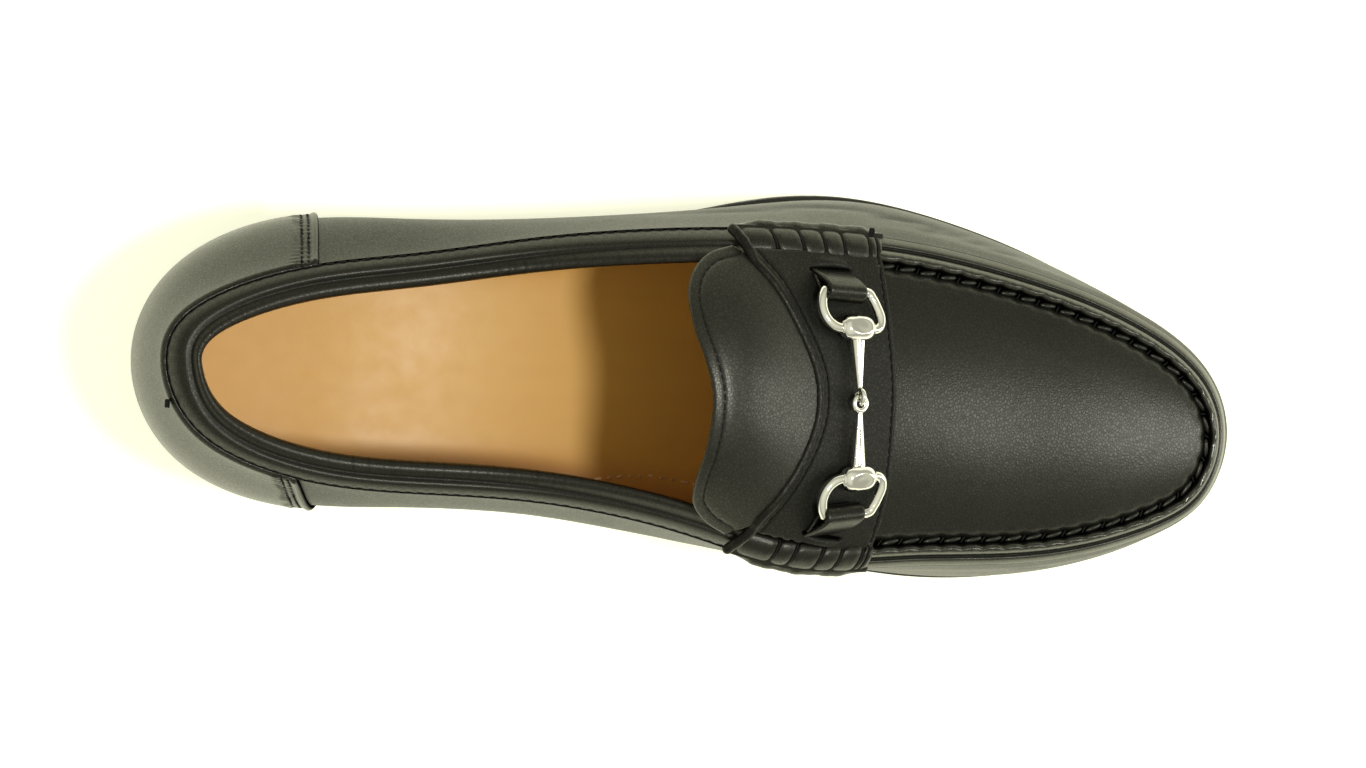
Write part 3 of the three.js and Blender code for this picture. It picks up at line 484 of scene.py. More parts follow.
rubber, tree, shader = new_material("black rubber")
wear = use_group(tree, worn, Size_mm=6.0)
rubber_shade = clouded(tree, wear, (0.008, 0.008, 0.008), (0.02, 0.02, 0.019))
tree.links.new(rubber_shade, shader.inputs["Base Color"])
shader.inputs["Roughness"].default_value = 0.78
bumped(tree, shader, noise_node(tree, 1600.0, 4.0), 0.3, 0.3 * MM)
heel_body("heel_top_piece_rubber", 0.0, TOP_PIECE, rubber, ["heel_top_piece"])

# Insole
# A tan leather sock, gently dished at the heel, its edge turned up a little at the wall, with one row of pale
# stitches by the inner edge at the waist, and painted shade darkening it towards its border at the wall.
SOLE_MARGIN = 1.8 * MM
WALL = 2.2 * MM
CLEARANCE = 0.3 * MM


def read_value(tree, name):
    """A piece's own number at each point, such as how deep in a crease it lies."""
    node = tree.nodes.new("ShaderNodeAttribute")
    node.attribute_name = name
    return node.outputs["Fac"]


def bump(distance, width):
    """1 at distance 0, falling away like a bell of that half width."""
    return np.exp(-((distance / width) ** 2))


def unit(v):
    """Vectors scaled to length 1."""
    return v / np.linalg.norm(v, axis=-1, keepdims=True)


def eased(count):
    """Shares from 0 to 1, close together near both ends."""
    return (1 - np.cos(np.linspace(0, math.pi, count))) / 2


def rim(distance, thickness):
    """Share of a sheet's half thickness at a distance from its border: a quarter round."""
    k = np.clip(distance / (thickness / 2), 0, 1)
    return np.sqrt(np.clip(1 - (1 - k) ** 2, 0, 1))


def slab(name, top, bottom, material, stands_for=(), values=None):
    """A sheet with a top and a bottom grid; the bottom takes the top's border, so that the sheet closes."""
    bottom[[0, -1]] = top[[0, -1]]
    bottom[:, [0, -1]] = top[:, [0, -1]]
    rows, columns = top.shape[:2]
    one = grid_faces(rows, columns)
    both = np.concatenate([top.reshape(-1, 3), bottom.reshape(-1, 3)])
    doubled = {key: np.tile(np.ravel(field), 2) for key, field in (values or {}).items()}
    faces = [one, one[:, ::-1] + rows * columns]
    add_piece(name, both, faces, material, stands_for, doubled, weld=True)


def run_along(path):
    """Distance along a path, or down each column of a grid of points, at each of its points."""
    steps = np.linalg.norm(np.diff(path, axis=0), axis=-1)
    return np.concatenate([np.zeros_like(steps[:1]), np.cumsum(steps, axis=0)])


def at_run(path, run, at):
    """The places of a path at given distances along it."""
    return np.stack([np.interp(at, run, path[:, k]) for k in range(path.shape[1])], -1)


tan_leather, tree, shader = new_material("tan leather")
wear = use_group(tree, worn, Size_mm=34.0)
tan_base = clouded(tree, wear, (0.63, 0.35, 0.068), (0.69, 0.395, 0.086))
streak = tree.nodes.new("ShaderNodeTexNoise")
streak.inputs["Scale"].default_value = 60.0
streak.inputs["Detail"].default_value = 6.0
stretch = tree.nodes.new("ShaderNodeMapping")
stretch.inputs["Scale"].default_value = (0.35, 3.0, 1.0)
tree.links.new(tree.nodes.new("ShaderNodeTexCoord").outputs["Object"], stretch.inputs["Vector"])
tree.links.new(stretch.outputs["Vector"], streak.inputs["Vector"])
streaked = math_node(tree, "MULTIPLY", math_node(tree, "SUBTRACT", streak.outputs["Fac"], 0.42), 0.25)
tan_streaked = mixed(tree, streaked, tan_base, (0.5, 0.235, 0.07))
# painted shade: the tan darkens towards the sock's border, where it meets the wall
tan_edge_shaded = mixed(tree, read_value(tree, "edge"), tan_streaked, (0.36, 0.145, 0.035))
tree.links.new(tan_edge_shaded, shader.inputs["Base Color"])
tree.links.new(roughened(tree, wear, 0.2, 0.44), shader.inputs["Roughness"])
pores = tree.nodes.new("ShaderNodeTexVoronoi")
pores.inputs["Scale"].default_value = 1500.0
tree.links.new(tree.nodes.new("ShaderNodeTexCoord").outputs["Object"], pores.inputs["Vector"])
bumped(tree, shader, pores.outputs["Distance"], 0.03, 0.2 * MM)

INSOLE_THICKNESS = 3 * MM
INSOLE_INSET = SOLE_MARGIN + WALL + 2 * CLEARANCE
HEEL_DISH = 0.9 * MM
DISH_MIDDLE = (-105 * MM, -2 * MM)
DISH_WIDTH = 34 * MM
EDGE_RISE = 1.4 * MM
insole_s = TIP * eased(190)
insole_w = eased(46)
outer = sole_point(insole_s, INSOLE_INSET, lambda x: 0 * x)
inner = sole_point(LOOP - insole_s, INSOLE_INSET, lambda x: 0 * x)
insole_plan = outer[:, None] + (inner - outer)[:, None] * insole_w[None, :, None]
width = np.linalg.norm(inner - outer, axis=-1)[:, None]
insole_x = insole_plan[..., 0]
end_gap = np.minimum(insole_x - insole_x.min(), insole_x.max() - insole_x)
side_gap = np.minimum(insole_w, 1 - insole_w)[None] * width
insole_gap = np.minimum(side_gap, end_gap)
seat = sole_top(insole_x) + CLEARANCE
from_dish = np.hypot(insole_x - DISH_MIDDLE[0], insole_plan[..., 1] - DISH_MIDDLE[1])
surface = INSOLE_THICKNESS - HEEL_DISH * bump(from_dish, DISH_WIDTH) + EDGE_RISE * bump(insole_gap, 5 * MM)
half = INSOLE_THICKNESS / 2
insole_top = insole_plan.copy()
insole_top[..., 2] = seat + half + (surface - half) * rim(insole_gap, 2 * MM)
insole_low = insole_plan.copy()
insole_low[..., 2] = seat + half - half * rim(insole_gap, 2 * MM)
# The edge value paints shade near the border of the sock.
slab(
    "insole_sock", insole_top, insole_low, tan_leather, ["insole"],
    values={"edge": 0.75 * bump(insole_gap, 6 * MM)},
)


def capsule_rows(path, up, pitch, length, width, height, start=0.5, turn=0.0, blunt=0.5):
    """Points and faces of stitches: ellipsoids laid along a path at a steady pitch, turned in their place; a
    higher number for blunt draws their ends out to a point."""
    run = run_along(path)
    count = int((run[-1] - start * pitch) / pitch) + 1
    at = (np.arange(count) + start) * pitch
    at = at[at < run[-1]]
    centre = at_run(path, run, at)
    normal = unit(at_run(up, run, at))
    along = unit(at_run(path, run, at + 0.2 * MM) - at_run(path, run, at - 0.2 * MM))
    side = unit(np.cross(normal, along))
    along = unit(along * math.cos(turn) + side * math.sin(turn))
    side = unit(np.cross(normal, along))
    rows, columns = 7, 8
    fall = np.linspace(0, math.pi, rows)
    turnabout = np.arange(columns) * 2 * math.pi / columns
    x = np.repeat(-np.cos(fall), columns) * length / 2
    ring = np.repeat(np.sin(fall) ** blunt, columns)
    y = ring * np.tile(np.cos(turnabout), rows) * width / 2
    z = ring * np.tile(np.sin(turnabout), rows) * height / 2
    points = (
        centre[:, None]
        + along[:, None] * x[None, :, None]
        + side[:, None] * y[None, :, None]
        + normal[:, None] * z[None, :, None]
    )
    one = grid_faces(rows, columns, wrap_columns=True)
    faces = (one[None] + (np.arange(len(at)) * rows * columns)[:, None, None]).reshape(-1, 4)
    return points.reshape(-1, 3), faces


def stitches(name, path, up, material, slot, pitch, length=1.9 * MM, width=0.5 * MM, turn=0.0):
    """A row of thread stitches along a path, four fifths as high as they are wide."""
    points, faces = capsule_rows(path, up, pitch, length, width, width * 0.8, turn=turn)
    add_piece(name, points, [faces], material, weld=True)


def thread_material(name, dark, light):
    """Waxed thread: dark and light strands in fine waves."""
    material, tree, shader = new_material(name)
    strands = tree.nodes.new("ShaderNodeTexWave")
    strands.inputs["Scale"].default_value = 900.0
    strands.inputs["Distortion"].default_value = 2.0
    tree.links.new(tree.nodes.new("ShaderNodeTexCoord").outputs["Object"], strands.inputs["Vector"])
    tree.links.new(mixed(tree, strands.outputs["Fac"], dark, light), shader.inputs["Base Color"])
    shader.inputs["Roughness"].default_value = 0.75
    shader.inputs["Specular IOR Level"].default_value = 0.12
    bumped(tree, shader, strands.outputs["Fac"], 0.4, 0.1 * MM)
    return material


black_thread = thread_material("black thread", (0.003, 0.003, 0.003), (0.014, 0.014, 0.013))
tan_thread = thread_material("pale thread", (0.62, 0.4, 0.22), (0.85, 0.65, 0.45))
SOCK_STITCH_LINE = [
    # place in plan, in mm
    (-28.5, -29.4), (-20.0, -28.2), (-9.8, -27.4), (-1.6, -28.5), (6.0, -29.6), (14.0, -31.3),
]
line = np.array(SOCK_STITCH_LINE) * MM
x = np.linspace(line[0, 0], line[-1, 0], 60)
y = np.interp(x, line[:, 0], line[:, 1])
sock_places = insole_top.reshape(-1, 3)
below = np.hypot(x[:, None] - sock_places[None, :, 0], y[:, None] - sock_places[None, :, 1]).argmin(1)
sock_path = np.stack([x, y, sock_places[below, 2] + 0.15 * MM], -1)
upright = np.tile([0, 0, 1.0], (len(sock_path), 1))
stitches("sock_stitches", sock_path, upright, tan_thread, "tan_leather", 3.4 * MM, 2.5 * MM, 0.75 * MM)

# Upper
# Smooth black calf with a fine grain. One skin for vamp and quarters, from the sole to the top line: drawn
# tight over the last, fuller under the raised seam, with a few soft creases at the outer toe side and by the
# gathers, painted darker as shade in their troughs.
UPPER_RISE = 85 * MM
LOW_HANDLE = 0.42  # shares of the wall's height that its bow starts and ends upright for
HIGH_HANDLE = 0.3
top_x = loop_curve(RIBS[:, 2] * LENGTH)
top_y = loop_curve(RIBS[:, 3] * BALL_WIDTH)
rise = loop_curve(RIBS[:, 4] * UPPER_RISE)
fullness = loop_curve(RIBS[:, 5] * BALL_WIDTH)
leaning = loop_curve(RIBS[:, 6] * BALL_WIDTH)


def top_line(s, out=0.0, up=0.0):
    """The line where the wall ends, moved out in plan and up."""
    nx, ny = outward(s)
    z = sole_top(sole_x(s)) + rise(s)
    return np.stack(np.broadcast_arrays(top_x(s) + nx * out, top_y(s) + ny * out, z + up), -1)


def wall_point(s, t, inset=0.0):
    """The wall from sole to top line: a cubic bow, swollen outwards by its fullness low and its lean high."""
    s, t = np.broadcast_arrays(s, t)
    nx, ny = outward(s)
    out = np.stack([nx, ny, np.zeros_like(nx)], -1)
    up = np.array([0, 0, 1.0])
    foot = sole_point(s, SOLE_MARGIN + inset, lambda x: sole_top(x) + CLEARANCE)
    top = top_line(s, -0.85 * inset, -0.5 * inset)
    height = (top[..., 2] - foot[..., 2])[..., None]
    low = foot + out * fullness(s)[..., None] + up * LOW_HANDLE * height
    high = top + out * leaning(s)[..., None] - up * HIGH_HANDLE * height
    u, t = (1 - t)[..., None], t[..., None]
    return u**3 * foot + 3 * u * u * t * low + 3 * u * t * t * high + t**3 * top


def normals_of(grid, wrap_rows=False):
    """Unit normals of a grid of points from the differences of its neighbours."""
    if wrap_rows:
        down = np.roll(grid, -1, 0) - np.roll(grid, 1, 0)
    else:
        down = np.gradient(grid, axis=0)
    return unit(np.cross(down, np.gradient(grid, axis=1)))


def sweep(name, rings, material, closed=False, stands_for=(), values=None):
    """A closed skin over rings of points, each a closed section; the ends are capped, or joined."""
    count, sides = rings.shape[:2]
    faces = [grid_faces(count, sides, wrap_rows=closed, wrap_columns=True)]
    if not closed:
        faces += [[list(range(sides))[::-1]], [list(range((count - 1) * sides, count * sides))]]
    add_piece(name, rings, faces, material, stands_for, values)


grain, grain_in, grain_out = new_group(
    "leather grain",
    [("Cell mm", 0.75), ("Pore", 0.5)],
    [("Height", "NodeSocketFloat"), ("Valley", "NodeSocketFloat")],
)
place = grain.nodes.new("ShaderNodeTexCoord").outputs["Object"]
wander = grain.nodes.new("ShaderNodeTexNoise")
wander.inputs["Scale"].default_value = 420.0
grain.links.new(place, wander.inputs["Vector"])
bend = grain.nodes.new("ShaderNodeVectorMath")
bend.operation = "MULTIPLY_ADD"
grain.links.new(wander.outputs["Color"], bend.inputs[0])
bend.inputs[1].default_value = (0.0009, 0.0009, 0.0009)
grain.links.new(place, bend.inputs[2])
cells = grain.nodes.new("ShaderNodeTexVoronoi")
cells.feature = "DISTANCE_TO_EDGE"
grain.links.new(bend.outputs[0], cells.inputs["Vector"])
grain.links.new(math_node(grain, "DIVIDE", 1000.0, grain_in.outputs["Cell mm"]), cells.inputs["Scale"])
valley = grain.nodes.new("ShaderNodeMapRange")
valley.inputs["From Max"].default_value = 0.3
grain.links.new(cells.outputs["Distance"], valley.inputs["Value"])
fine = noise_node(grain, 3200.0, 3.0)
pores = math_node(grain, "MULTIPLY", fine, grain_in.outputs["Pore"])
raised = math_node(grain, "ADD", valley.outputs[0], pores)
grain.links.new(raised, grain_out.inputs["Height"])
grain.links.new(math_node(grain, "SUBTRACT", 1.0, valley.outputs[0]), grain_out.inputs["Valley"])


def calf(name, depth=0.12, cell=0.9, rough_base=0.28, shine=0.5):
    """Black calf: near-black dye, grey where polish catches; painted shade and dullness where a piece's value
    is high.
    """
    material, tree, shader = new_material(name)
    wear = use_group(tree, worn, Size_mm=22.0)
    skin = use_group(tree, grain, Cell_mm=cell)
    dyed = clouded(tree, wear, (0.002, 0.0022, 0.0017), (0.0042, 0.0045, 0.0034))
    # painted shade: the dye turns nearly black where the piece's value is high
    dye_with_painted_shade = mixed(tree, read_value(tree, "shade_and_dullness"), dyed, (0.001, 0.001, 0.001))
    tree.links.new(dye_with_painted_shade, shader.inputs["Base Color"])
    rough = roughened(tree, wear, 0.08, rough_base)
    rough = math_node(tree, "ADD", rough, math_node(tree, "MULTIPLY", skin.outputs["Valley"], 0.05))
    rough = math_node(tree, "ADD", rough, math_node(tree, "MULTIPLY", read_value(tree, "shade_and_dullness"), 0.3))
    tree.links.new(rough, shader.inputs["Roughness"])
    valley_dulls = math_node(tree, "MULTIPLY", skin.outputs["Valley"], 0.4 * shine)
    bright = math_node(tree, "SUBTRACT", shine, valley_dulls)
    dull = math_node(tree, "MULTIPLY", math_node(tree, "SUBTRACT", 1.0, read_value(tree, "shade_and_dullness")), bright)
    tree.links.new(dull, shader.inputs["Specular IOR Level"])
    shader.inputs["Specular Tint"].default_value = (1.0, 1.0, 0.86, 1)
    bumped(tree, shader, skin.outputs["Height"], depth, 0.12 * MM)
    return material


black_calf = calf("black calf")
piping_calf = calf("rolled calf", depth=0.1, cell=0.65, rough_base=0.36, shine=0.5)
seam_calf = calf("drawn calf", depth=0.12, cell=0.65, rough_base=0.22, shine=0.95)
soft_calf = calf("soft calf", depth=0.14, cell=0.9, rough_base=0.38, shine=0.6)

WALL_STEPS = 760
WALL_ROWS = 32
SKIN = 1.2 * MM
wall_s = (np.arange(WALL_STEPS) * LOOP / WALL_STEPS)[:, None]
wall_t = eased(WALL_ROWS)[None]
WALL_CREASES = [
    # place round the shoe, height share, half length and half width in mm, lean in degrees, depth in mm
    (7.5, 0.68, 7.0, 2.0, -60, 0.34),
    (7.7, 0.66, 8.0, 2.4, -52, 0.4),
    (7.92, 0.7, 7.0, 2.2, -46, 0.32),
    (8.15, 0.74, 8.0, 2.6, -34, 0.26),
    (7.2, 0.62, 10.0, 3.0, -20, 0.4),
    (6.5, 0.5, 16.0, 4.5, 10, 0.4),
    (5.6, 0.55, 18.0, 5.0, 6, 0.35),
    (9.3, 0.72, 9.0, 2.4, -24, 0.3),
    (17.1, 0.66, 8.0, 2.2, 40, 0.4),
    (17.4, 0.62, 10.0, 2.6, 30, 0.4),
    (18.6, 0.5, 16.0, 4.5, -8, 0.45),
    (15.6, 0.74, 8.0, 2.0, 30, 0.3),
]
RIB_RUN = 27 * MM  # about the way from rib to rib along the wall
CREASE_STRENGTH = 0.65  # share of each listed depth


def wall_relief(s, t):
    """Soft creases: each a bell-shaped trough, a low ridge beside it, on a line that leans by its angle."""
    relief = np.zeros(np.broadcast_shapes(np.shape(s), np.shape(t)))
    height = rise(s)
    for place, share, long, wide, lean, depth in WALL_CREASES:
        level = (s - place) * RIB_RUN
        high = (t - share) * height
        turn = math.radians(lean)
        along = (level * math.cos(turn) + high * math.sin(turn)) / (long * MM)
        across = (high * math.cos(turn) - level * math.sin(turn)) / (wide * MM)
        shape = 0.7 * np.exp(-((across - 1.5) ** 2)) - np.exp(-(across**2))
        relief += CREASE_STRENGTH * depth * MM * np.exp(-(along**2)) * shape
    return relief


def wall_fold(s, t):
    """How deep in a crease a point of the wall lies, 0 to 1."""
    return np.clip(-wall_relief(s, t) / (0.5 * MM), 0, 1)


outer_skin = wall_point(wall_s, wall_t)
skin_normal = normals_of(outer_skin, wrap_rows=True)
skin_normal *= np.sign(np.sum(skin_normal * (outer_skin - outer_skin.mean(0)), -1).mean())
relief = wall_relief(wall_s, wall_t) * smooth((1 - wall_t) / 0.06)
under_seam = smooth((wall_s - 6.6) / 0.5) * smooth((LOOP - 6.4 - wall_s) / 0.5)
puff = 0.5 * MM * bump(wall_t - 0.86, 0.09) * under_seam
feather = -0.5 * MM * bump(wall_t, 0.02)
outer_skin = outer_skin + skin_normal * (relief + puff + feather)[..., None]
inner_skin = wall_point(wall_s, wall_t, SKIN)
upper_section = np.concatenate([outer_skin, inner_skin[:, ::-1]], 1)
# a little duller all over, with painted shade deepening in the creases
shade_and_dullness = np.concatenate([0.15 + 0.85 * wall_fold(wall_s, wall_t), np.zeros_like(relief)], 1)
sweep("upper_wall", upper_section, soft_calf, True, ["upper"], {"shade_and_dullness": shade_and_dullness})

# Lining
# A thin tan leather inside the wall, glued to it, reaching almost to the top line.
lining_t = np.linspace(0, 0.985, 20)[None]
lining_s = (np.arange(360) * LOOP / 360)[:, None]
lining = np.concatenate(
    [wall_point(lining_s, lining_t, 1.3 * MM), wall_point(lining_s, lining_t, WALL)[:, ::-1]], 1
)
sweep("wall_lining", lining, tan_leather, True)

# Apron
# The flat of the vamp, a separate calf set inside the raised seam and lined in tan. Its edge is tucked down
# into the seam, puffs up beside it and is drawn in at every stitch, with painted shade where it dips.
GATHER_OUTER = (5.4, 6.9)
GATHER_INNER = (LOOP - 6.66, LOOP - 5.46)
crown = loop_curve(RIBS[:, 7] * UPPER_RISE)
CROWN_POWER = 2.2  # the higher, the flatter the lid's middle
HALVINGS = 22
LID_PLACES = np.linspace(2.2, TIP - 0.02, 3000)
LID_OUTER = top_line(LID_PLACES)
LID_INNER = top_line(LOOP - LID_PLACES)
LID_CROWN = crown(LID_PLACES)


def lid_height(x, y):
    """Height of the lid, the surface over the foot, at a place in plan. The place lies on one straight line
    between the two top lines; that line is found by halving, and the height is its own with a crown on it."""
    low = np.full(np.shape(x), LID_PLACES[0])
    high = np.full(np.shape(x), LID_PLACES[-1])
    for _ in range(HALVINGS):
        middle = (low + high) / 2
        ax, ay = (np.interp(middle, LID_PLACES, LID_INNER[:, k]) for k in (0, 1))
        bx, by = (np.interp(middle, LID_PLACES, LID_OUTER[:, k]) for k in (0, 1))
        ahead = (x - ax) * (by - ay) - (y - ay) * (bx - ax) > 0
        low = np.where(ahead, middle, low)
        high = np.where(ahead, high, middle)
    az = np.interp(middle, LID_PLACES, LID_INNER[:, 2])
    bz = np.interp(middle, LID_PLACES, LID_OUTER[:, 2])
    share = ((x - ax) * (bx - ax) + (y - ay) * (by - ay)) / ((bx - ax) ** 2 + (by - ay) ** 2)
    across = np.abs(2 * share - 1)
    return az + (bz - az) * share + np.interp(middle, LID_PLACES, LID_CROWN) * (1 - across**CROWN_POWER)


def seam_point(s, inward, up):
    """A point of the seam's section: that far inside the top line in plan, and that far over the lid."""
    plan = top_line(s, -inward)
    x, y = plan[..., 0], plan[..., 1]
    return np.stack([x, y, lid_height(x, y) + up], -1)


SEAM_FROM, SEAM_TO = GATHER_OUTER[1] - 0.05, GATHER_INNER[0] + 0.05
STITCH_PITCH = 6.2 * MM
seam_s = np.linspace(SEAM_FROM, SEAM_TO, 1500)
seam_path = seam_point(seam_s, 7.0 * MM, 0.0)
seam_run = run_along(seam_path)


def stitch_phase(s):
    """Distance in metres from the nearest seam stitch, for a place round the shoe."""
    run = np.interp(s, seam_s, seam_run)
    return (np.mod(run / STITCH_PITCH + 0.5, 1) - 0.5) * STITCH_PITCH


APRON_BACK = 5.75
APRON_EDGE = 4.9 * MM
APRON_PROFILE = [
    # distance from the tucked edge and height over the lid, in mm
    (0, -1.7), (1.2, -1.6), (1.7, -1.2), (2.2, -0.75), (2.7, -0.3), (3.3, 0.15), (4.2, 0.5), (6, 0.66),
    (9, 0.62), (16, 0.5), (60, 0.45),
]
apron_i = APRON_BACK + (TIP - APRON_BACK) * np.sin(np.linspace(0, math.pi / 2, 190))
apron_w = eased(124)
outer = top_line(apron_i, -APRON_EDGE)
inner = top_line(LOOP - apron_i, -APRON_EDGE)
plan = outer[:, None] + (inner - outer)[:, None] * apron_w[None, :, None]
border_s = np.linspace(APRON_BACK - 1, LOOP - APRON_BACK + 1, 700)
border = top_line(border_s, -APRON_EDGE)[:, :2]
flat = plan[..., :2].reshape(-1, 2)
gap = np.empty(len(flat))
nearest = np.empty(len(flat))
for block in np.array_split(np.arange(len(flat)), 12):
    away = np.linalg.norm(flat[block, None] - border[None], axis=-1)
    gap[block] = away.min(1)
    nearest[block] = border_s[away.argmin(1)]
gap = gap.reshape(plan.shape[:2])
nearest = nearest.reshape(plan.shape[:2])
profile = np.array(APRON_PROFILE) * MM
height = np.interp(gap, profile[:, 0], profile[:, 1])
on_seam = smooth((nearest - SEAM_FROM) / 0.1) * smooth((SEAM_TO - nearest) / 0.1)
pull = bump(stitch_phase(nearest), 1.0 * MM) * bump(gap - 3.0 * MM, 1.1 * MM) * on_seam
between_stitches = bump(np.abs(stitch_phase(nearest)) - STITCH_PITCH / 2, 2.0 * MM)
swell = between_stitches * bump(gap - 3.6 * MM, 1.2 * MM) * on_seam
height = height - 0.35 * MM * pull + 0.12 * MM * swell
x, y = plan[..., 0], plan[..., 1]
apron_top = np.stack([x, y, lid_height(x, y) + height], -1)
apron_low = np.stack([x, y, lid_height(x, y) + np.minimum(height - 1.3 * MM, -0.9 * MM)], -1)
# painted shade: the apron darkens as it dips into the seam and where each stitch pulls it in
slab(
    "apron", apron_top, apron_low, black_calf,
    values={"shade_and_dullness": np.clip(smooth((3.1 * MM - gap) / (1.1 * MM)) + 0.5 * pull, 0, 1)},
)
lining_i = np.linspace(APRON_BACK + 0.25, TIP - 0.3, 60)
lining_v = np.linspace(0, 1, 30)
outer = top_line(lining_i, -4 * MM)
inner = top_line(LOOP - lining_i, -4 * MM)
plan = outer[:, None] + (inner - outer)[:, None] * lining_v[None, :, None]
x, y = plan[..., 0], plan[..., 1]
under_top = np.stack([x, y, lid_height(x, y) - 2.6 * MM], -1)
under_low = np.stack([x, y, lid_height(x, y) - 3.3 * MM], -1)
slab("apron_lining", under_top, under_low, tan_leather)

# Raised seam
# The wall's edge rolled over a cord: a small ridge, a groove and the main roll, then the gap with its
# stitches, with painted shade in groove and gap. Between stitches the leather shows as small plump beads,
# and at each stitch a thread crosses the gap.
SEAM_PROFILE = [
    # distance inside the top line and height over the lid, in mm
    (-0.3, -1.0), (-0.28, -0.45), (-0.05, 0.1), (0.4, 0.55), (0.95, 0.95), (1.5, 1.1), (1.95, 0.95),
    (2.3, 0.55), (2.6, 0.45), (2.8, 0.8), (3.1, 1.5), (3.6, 2.1), (4.2, 2.35), (4.9, 2.15), (5.6, 1.4),
    (6.0, -0.2), (5.4, -1.5), (3.6, -1.7), (1.6, -1.7), (0.2, -1.6),
]


def lid_normal(x, y, reach=0.8 * MM):
    """Upward unit normal of the lid from its height a little way off on each side."""
    fall_x = (lid_height(x - reach, y) - lid_height(x + reach, y)) / (2 * reach)
    fall_y = (lid_height(x, y - reach) - lid_height(x, y + reach)) / (2 * reach)
    normal = np.stack([fall_x, fall_y, np.ones_like(fall_x)], -1)
    return normal / np.linalg.norm(normal, axis=-1, keepdims=True)


def rounded(profile, count):
    """A closed outline through the given corners, as a smooth Catmull-Rom curve of that many points."""
    corners = np.asarray(profile, float)
    n = len(corners)
    at = np.linspace(0, n, count, endpoint=False)
    i = at.astype(int)
    t = (at - i)[:, None]
    a, b, c, d = (corners[(i + k) % n] for k in (-1, 0, 1, 2))
    return b + 0.5 * t * (c - a + t * (2 * a - 5 * b + 4 * c - d + t * (3 * (b - c) + d - a)))


section = rounded(SEAM_PROFILE, 58) * MM
roll_s = np.linspace(SEAM_FROM, SEAM_TO, 1100)[:, None]
tug = bump(stitch_phase(roll_s), 1.2 * MM)
inward = np.broadcast_to(section[None, :, 0], (len(roll_s), len(section)))
up = np.broadcast_to(section[None, :, 1], inward.shape)
near_gap = bump(inward - 5.6 * MM, 1.2 * MM) * (up > -1 * MM)
on_roll = smooth((inward - 2.9 * MM) / (0.6 * MM)) * (up > 0.3 * MM)
seam_run_here = np.interp(roll_s, seam_s, seam_run)
crinkle = np.sin(seam_run_here / (0.62 * MM) + 900 * inward)
crinkle = crinkle + np.sin(seam_run_here / (0.41 * MM) - 1300 * inward + 1)
slow_wave = np.sin(seam_run_here / (2.3 * MM)) + np.sin(seam_run_here / (3.7 * MM) + 2)
seam_noise = (0.02 * MM * crinkle * on_roll + 0.035 * MM * slow_wave) * (up > 0)
drawn_in = tug * near_gap
rings = seam_point(roll_s, inward - 0.3 * MM * drawn_in, up - 0.2 * MM * drawn_in + seam_noise)
# painted shade: darker in the groove, down the roll's inner flank into the gap, and on the step down to the
# wall
groove = bump(inward - 2.45 * MM, 0.35 * MM) * (up > 0) * 0.7
past_roll = smooth((inward - 5.5 * MM) / (0.5 * MM)) * (up < 1.6 * MM)
painted_gap_shade = np.clip(groove + past_roll + (inward < -0.1 * MM) * 0.9, 0, 1)
sweep("seam_roll", rings, seam_calf, values={"shade_and_dullness": painted_gap_shade})
bead_path = seam_point(seam_s, 6.9 * MM, -0.2 * MM)
bead_up = lid_normal(bead_path[:, 0], bead_path[:, 1])
points, faces = capsule_rows(bead_path, bead_up, STITCH_PITCH, 5.2 * MM, 1.7 * MM, 1.5 * MM, 0.5, 0.2, 0.8)
# the beads a little darker and duller all over
bead_dullness = np.full(len(points), 0.15)
add_piece("seam_beads", points, [faces], black_calf, values={"shade_and_dullness": bead_dullness}, weld=True)
points, faces = capsule_rows(bead_path, bead_up, STITCH_PITCH, 2.0 * MM, 0.4 * MM, 0.6 * MM, 1.0, 1.1)
add_piece("seam_threads", points, [faces], black_thread, weld=True)

# Counter
# A second leather round the heel, lapped over both quarters under the collar. Behind each front edge run two
# rows of stitches that gather the leather into short pleats.
COUNTER_THICKNESS = 1.0 * MM
COUNTER_STITCH_ROWS = (2.6 * MM, 4.3 * MM)  # distances behind its front edge
COUNTER_OUTER_X = -104.6 * MM
COUNTER_INNER_X = -105.9 * MM
COUNTER_INNER_SLANT = 0.21


def counter_limit(t, sign):
    """Places round the shoe where the counter ends, a height share each: the wall meets the edge's plane."""
    places = np.linspace(0.5, 4.0, 240)
    grid = wall_point(sign * places[:, None], t[None])
    if sign > 0:
        line = COUNTER_OUTER_X + 0 * grid[..., 2]
    else:
        line = COUNTER_INNER_X + COUNTER_INNER_SLANT * (0.071 - grid[..., 2])
    return np.array([np.interp(0, grid[:, k, 0] - line[:, k], places) for k in range(len(t))])


COUNTER_ROWS = 74
counter_t = eased(COUNTER_ROWS)
stop_outer = counter_limit(counter_t, 1)
stop_inner = -counter_limit(counter_t, -1)
share = eased(330)
counter_s = stop_inner[None] + (stop_outer - stop_inner)[None] * share[:, None]
base = wall_point(counter_s, counter_t[None])
normal = normals_of(base)
normal *= np.sign(np.sum(normal * (base - base.mean((0, 1))), -1).mean())
run = run_along(base)
edge = np.minimum(run, run[-1:] - run)
row_height = base[..., 2]
pleat = np.cos(row_height / (1.6 * MM) * 2 * math.pi) * bump(edge - 5.6 * MM, 1.5 * MM)
groove = sum(bump(edge - away, 0.55 * MM) for away in COUNTER_STITCH_ROWS)
rolled_edge = 0.35 * MM * bump(edge - 0.9 * MM, 0.7 * MM)
lift = 0.15 * MM + COUNTER_THICKNESS * (0.25 + 0.75 * rim(edge, 1.6 * MM)) + rolled_edge
hole = (0.5 + 0.5 * np.cos(row_height / (2.1 * MM) * 2 * math.pi)) ** 1.3
lift = lift + 0.16 * MM * pleat - (0.12 + 0.25 * hole) * MM * groove
lift = lift * smooth((1.02 - counter_t[None]) / 0.05)
counter_top = base + normal * lift[..., None]
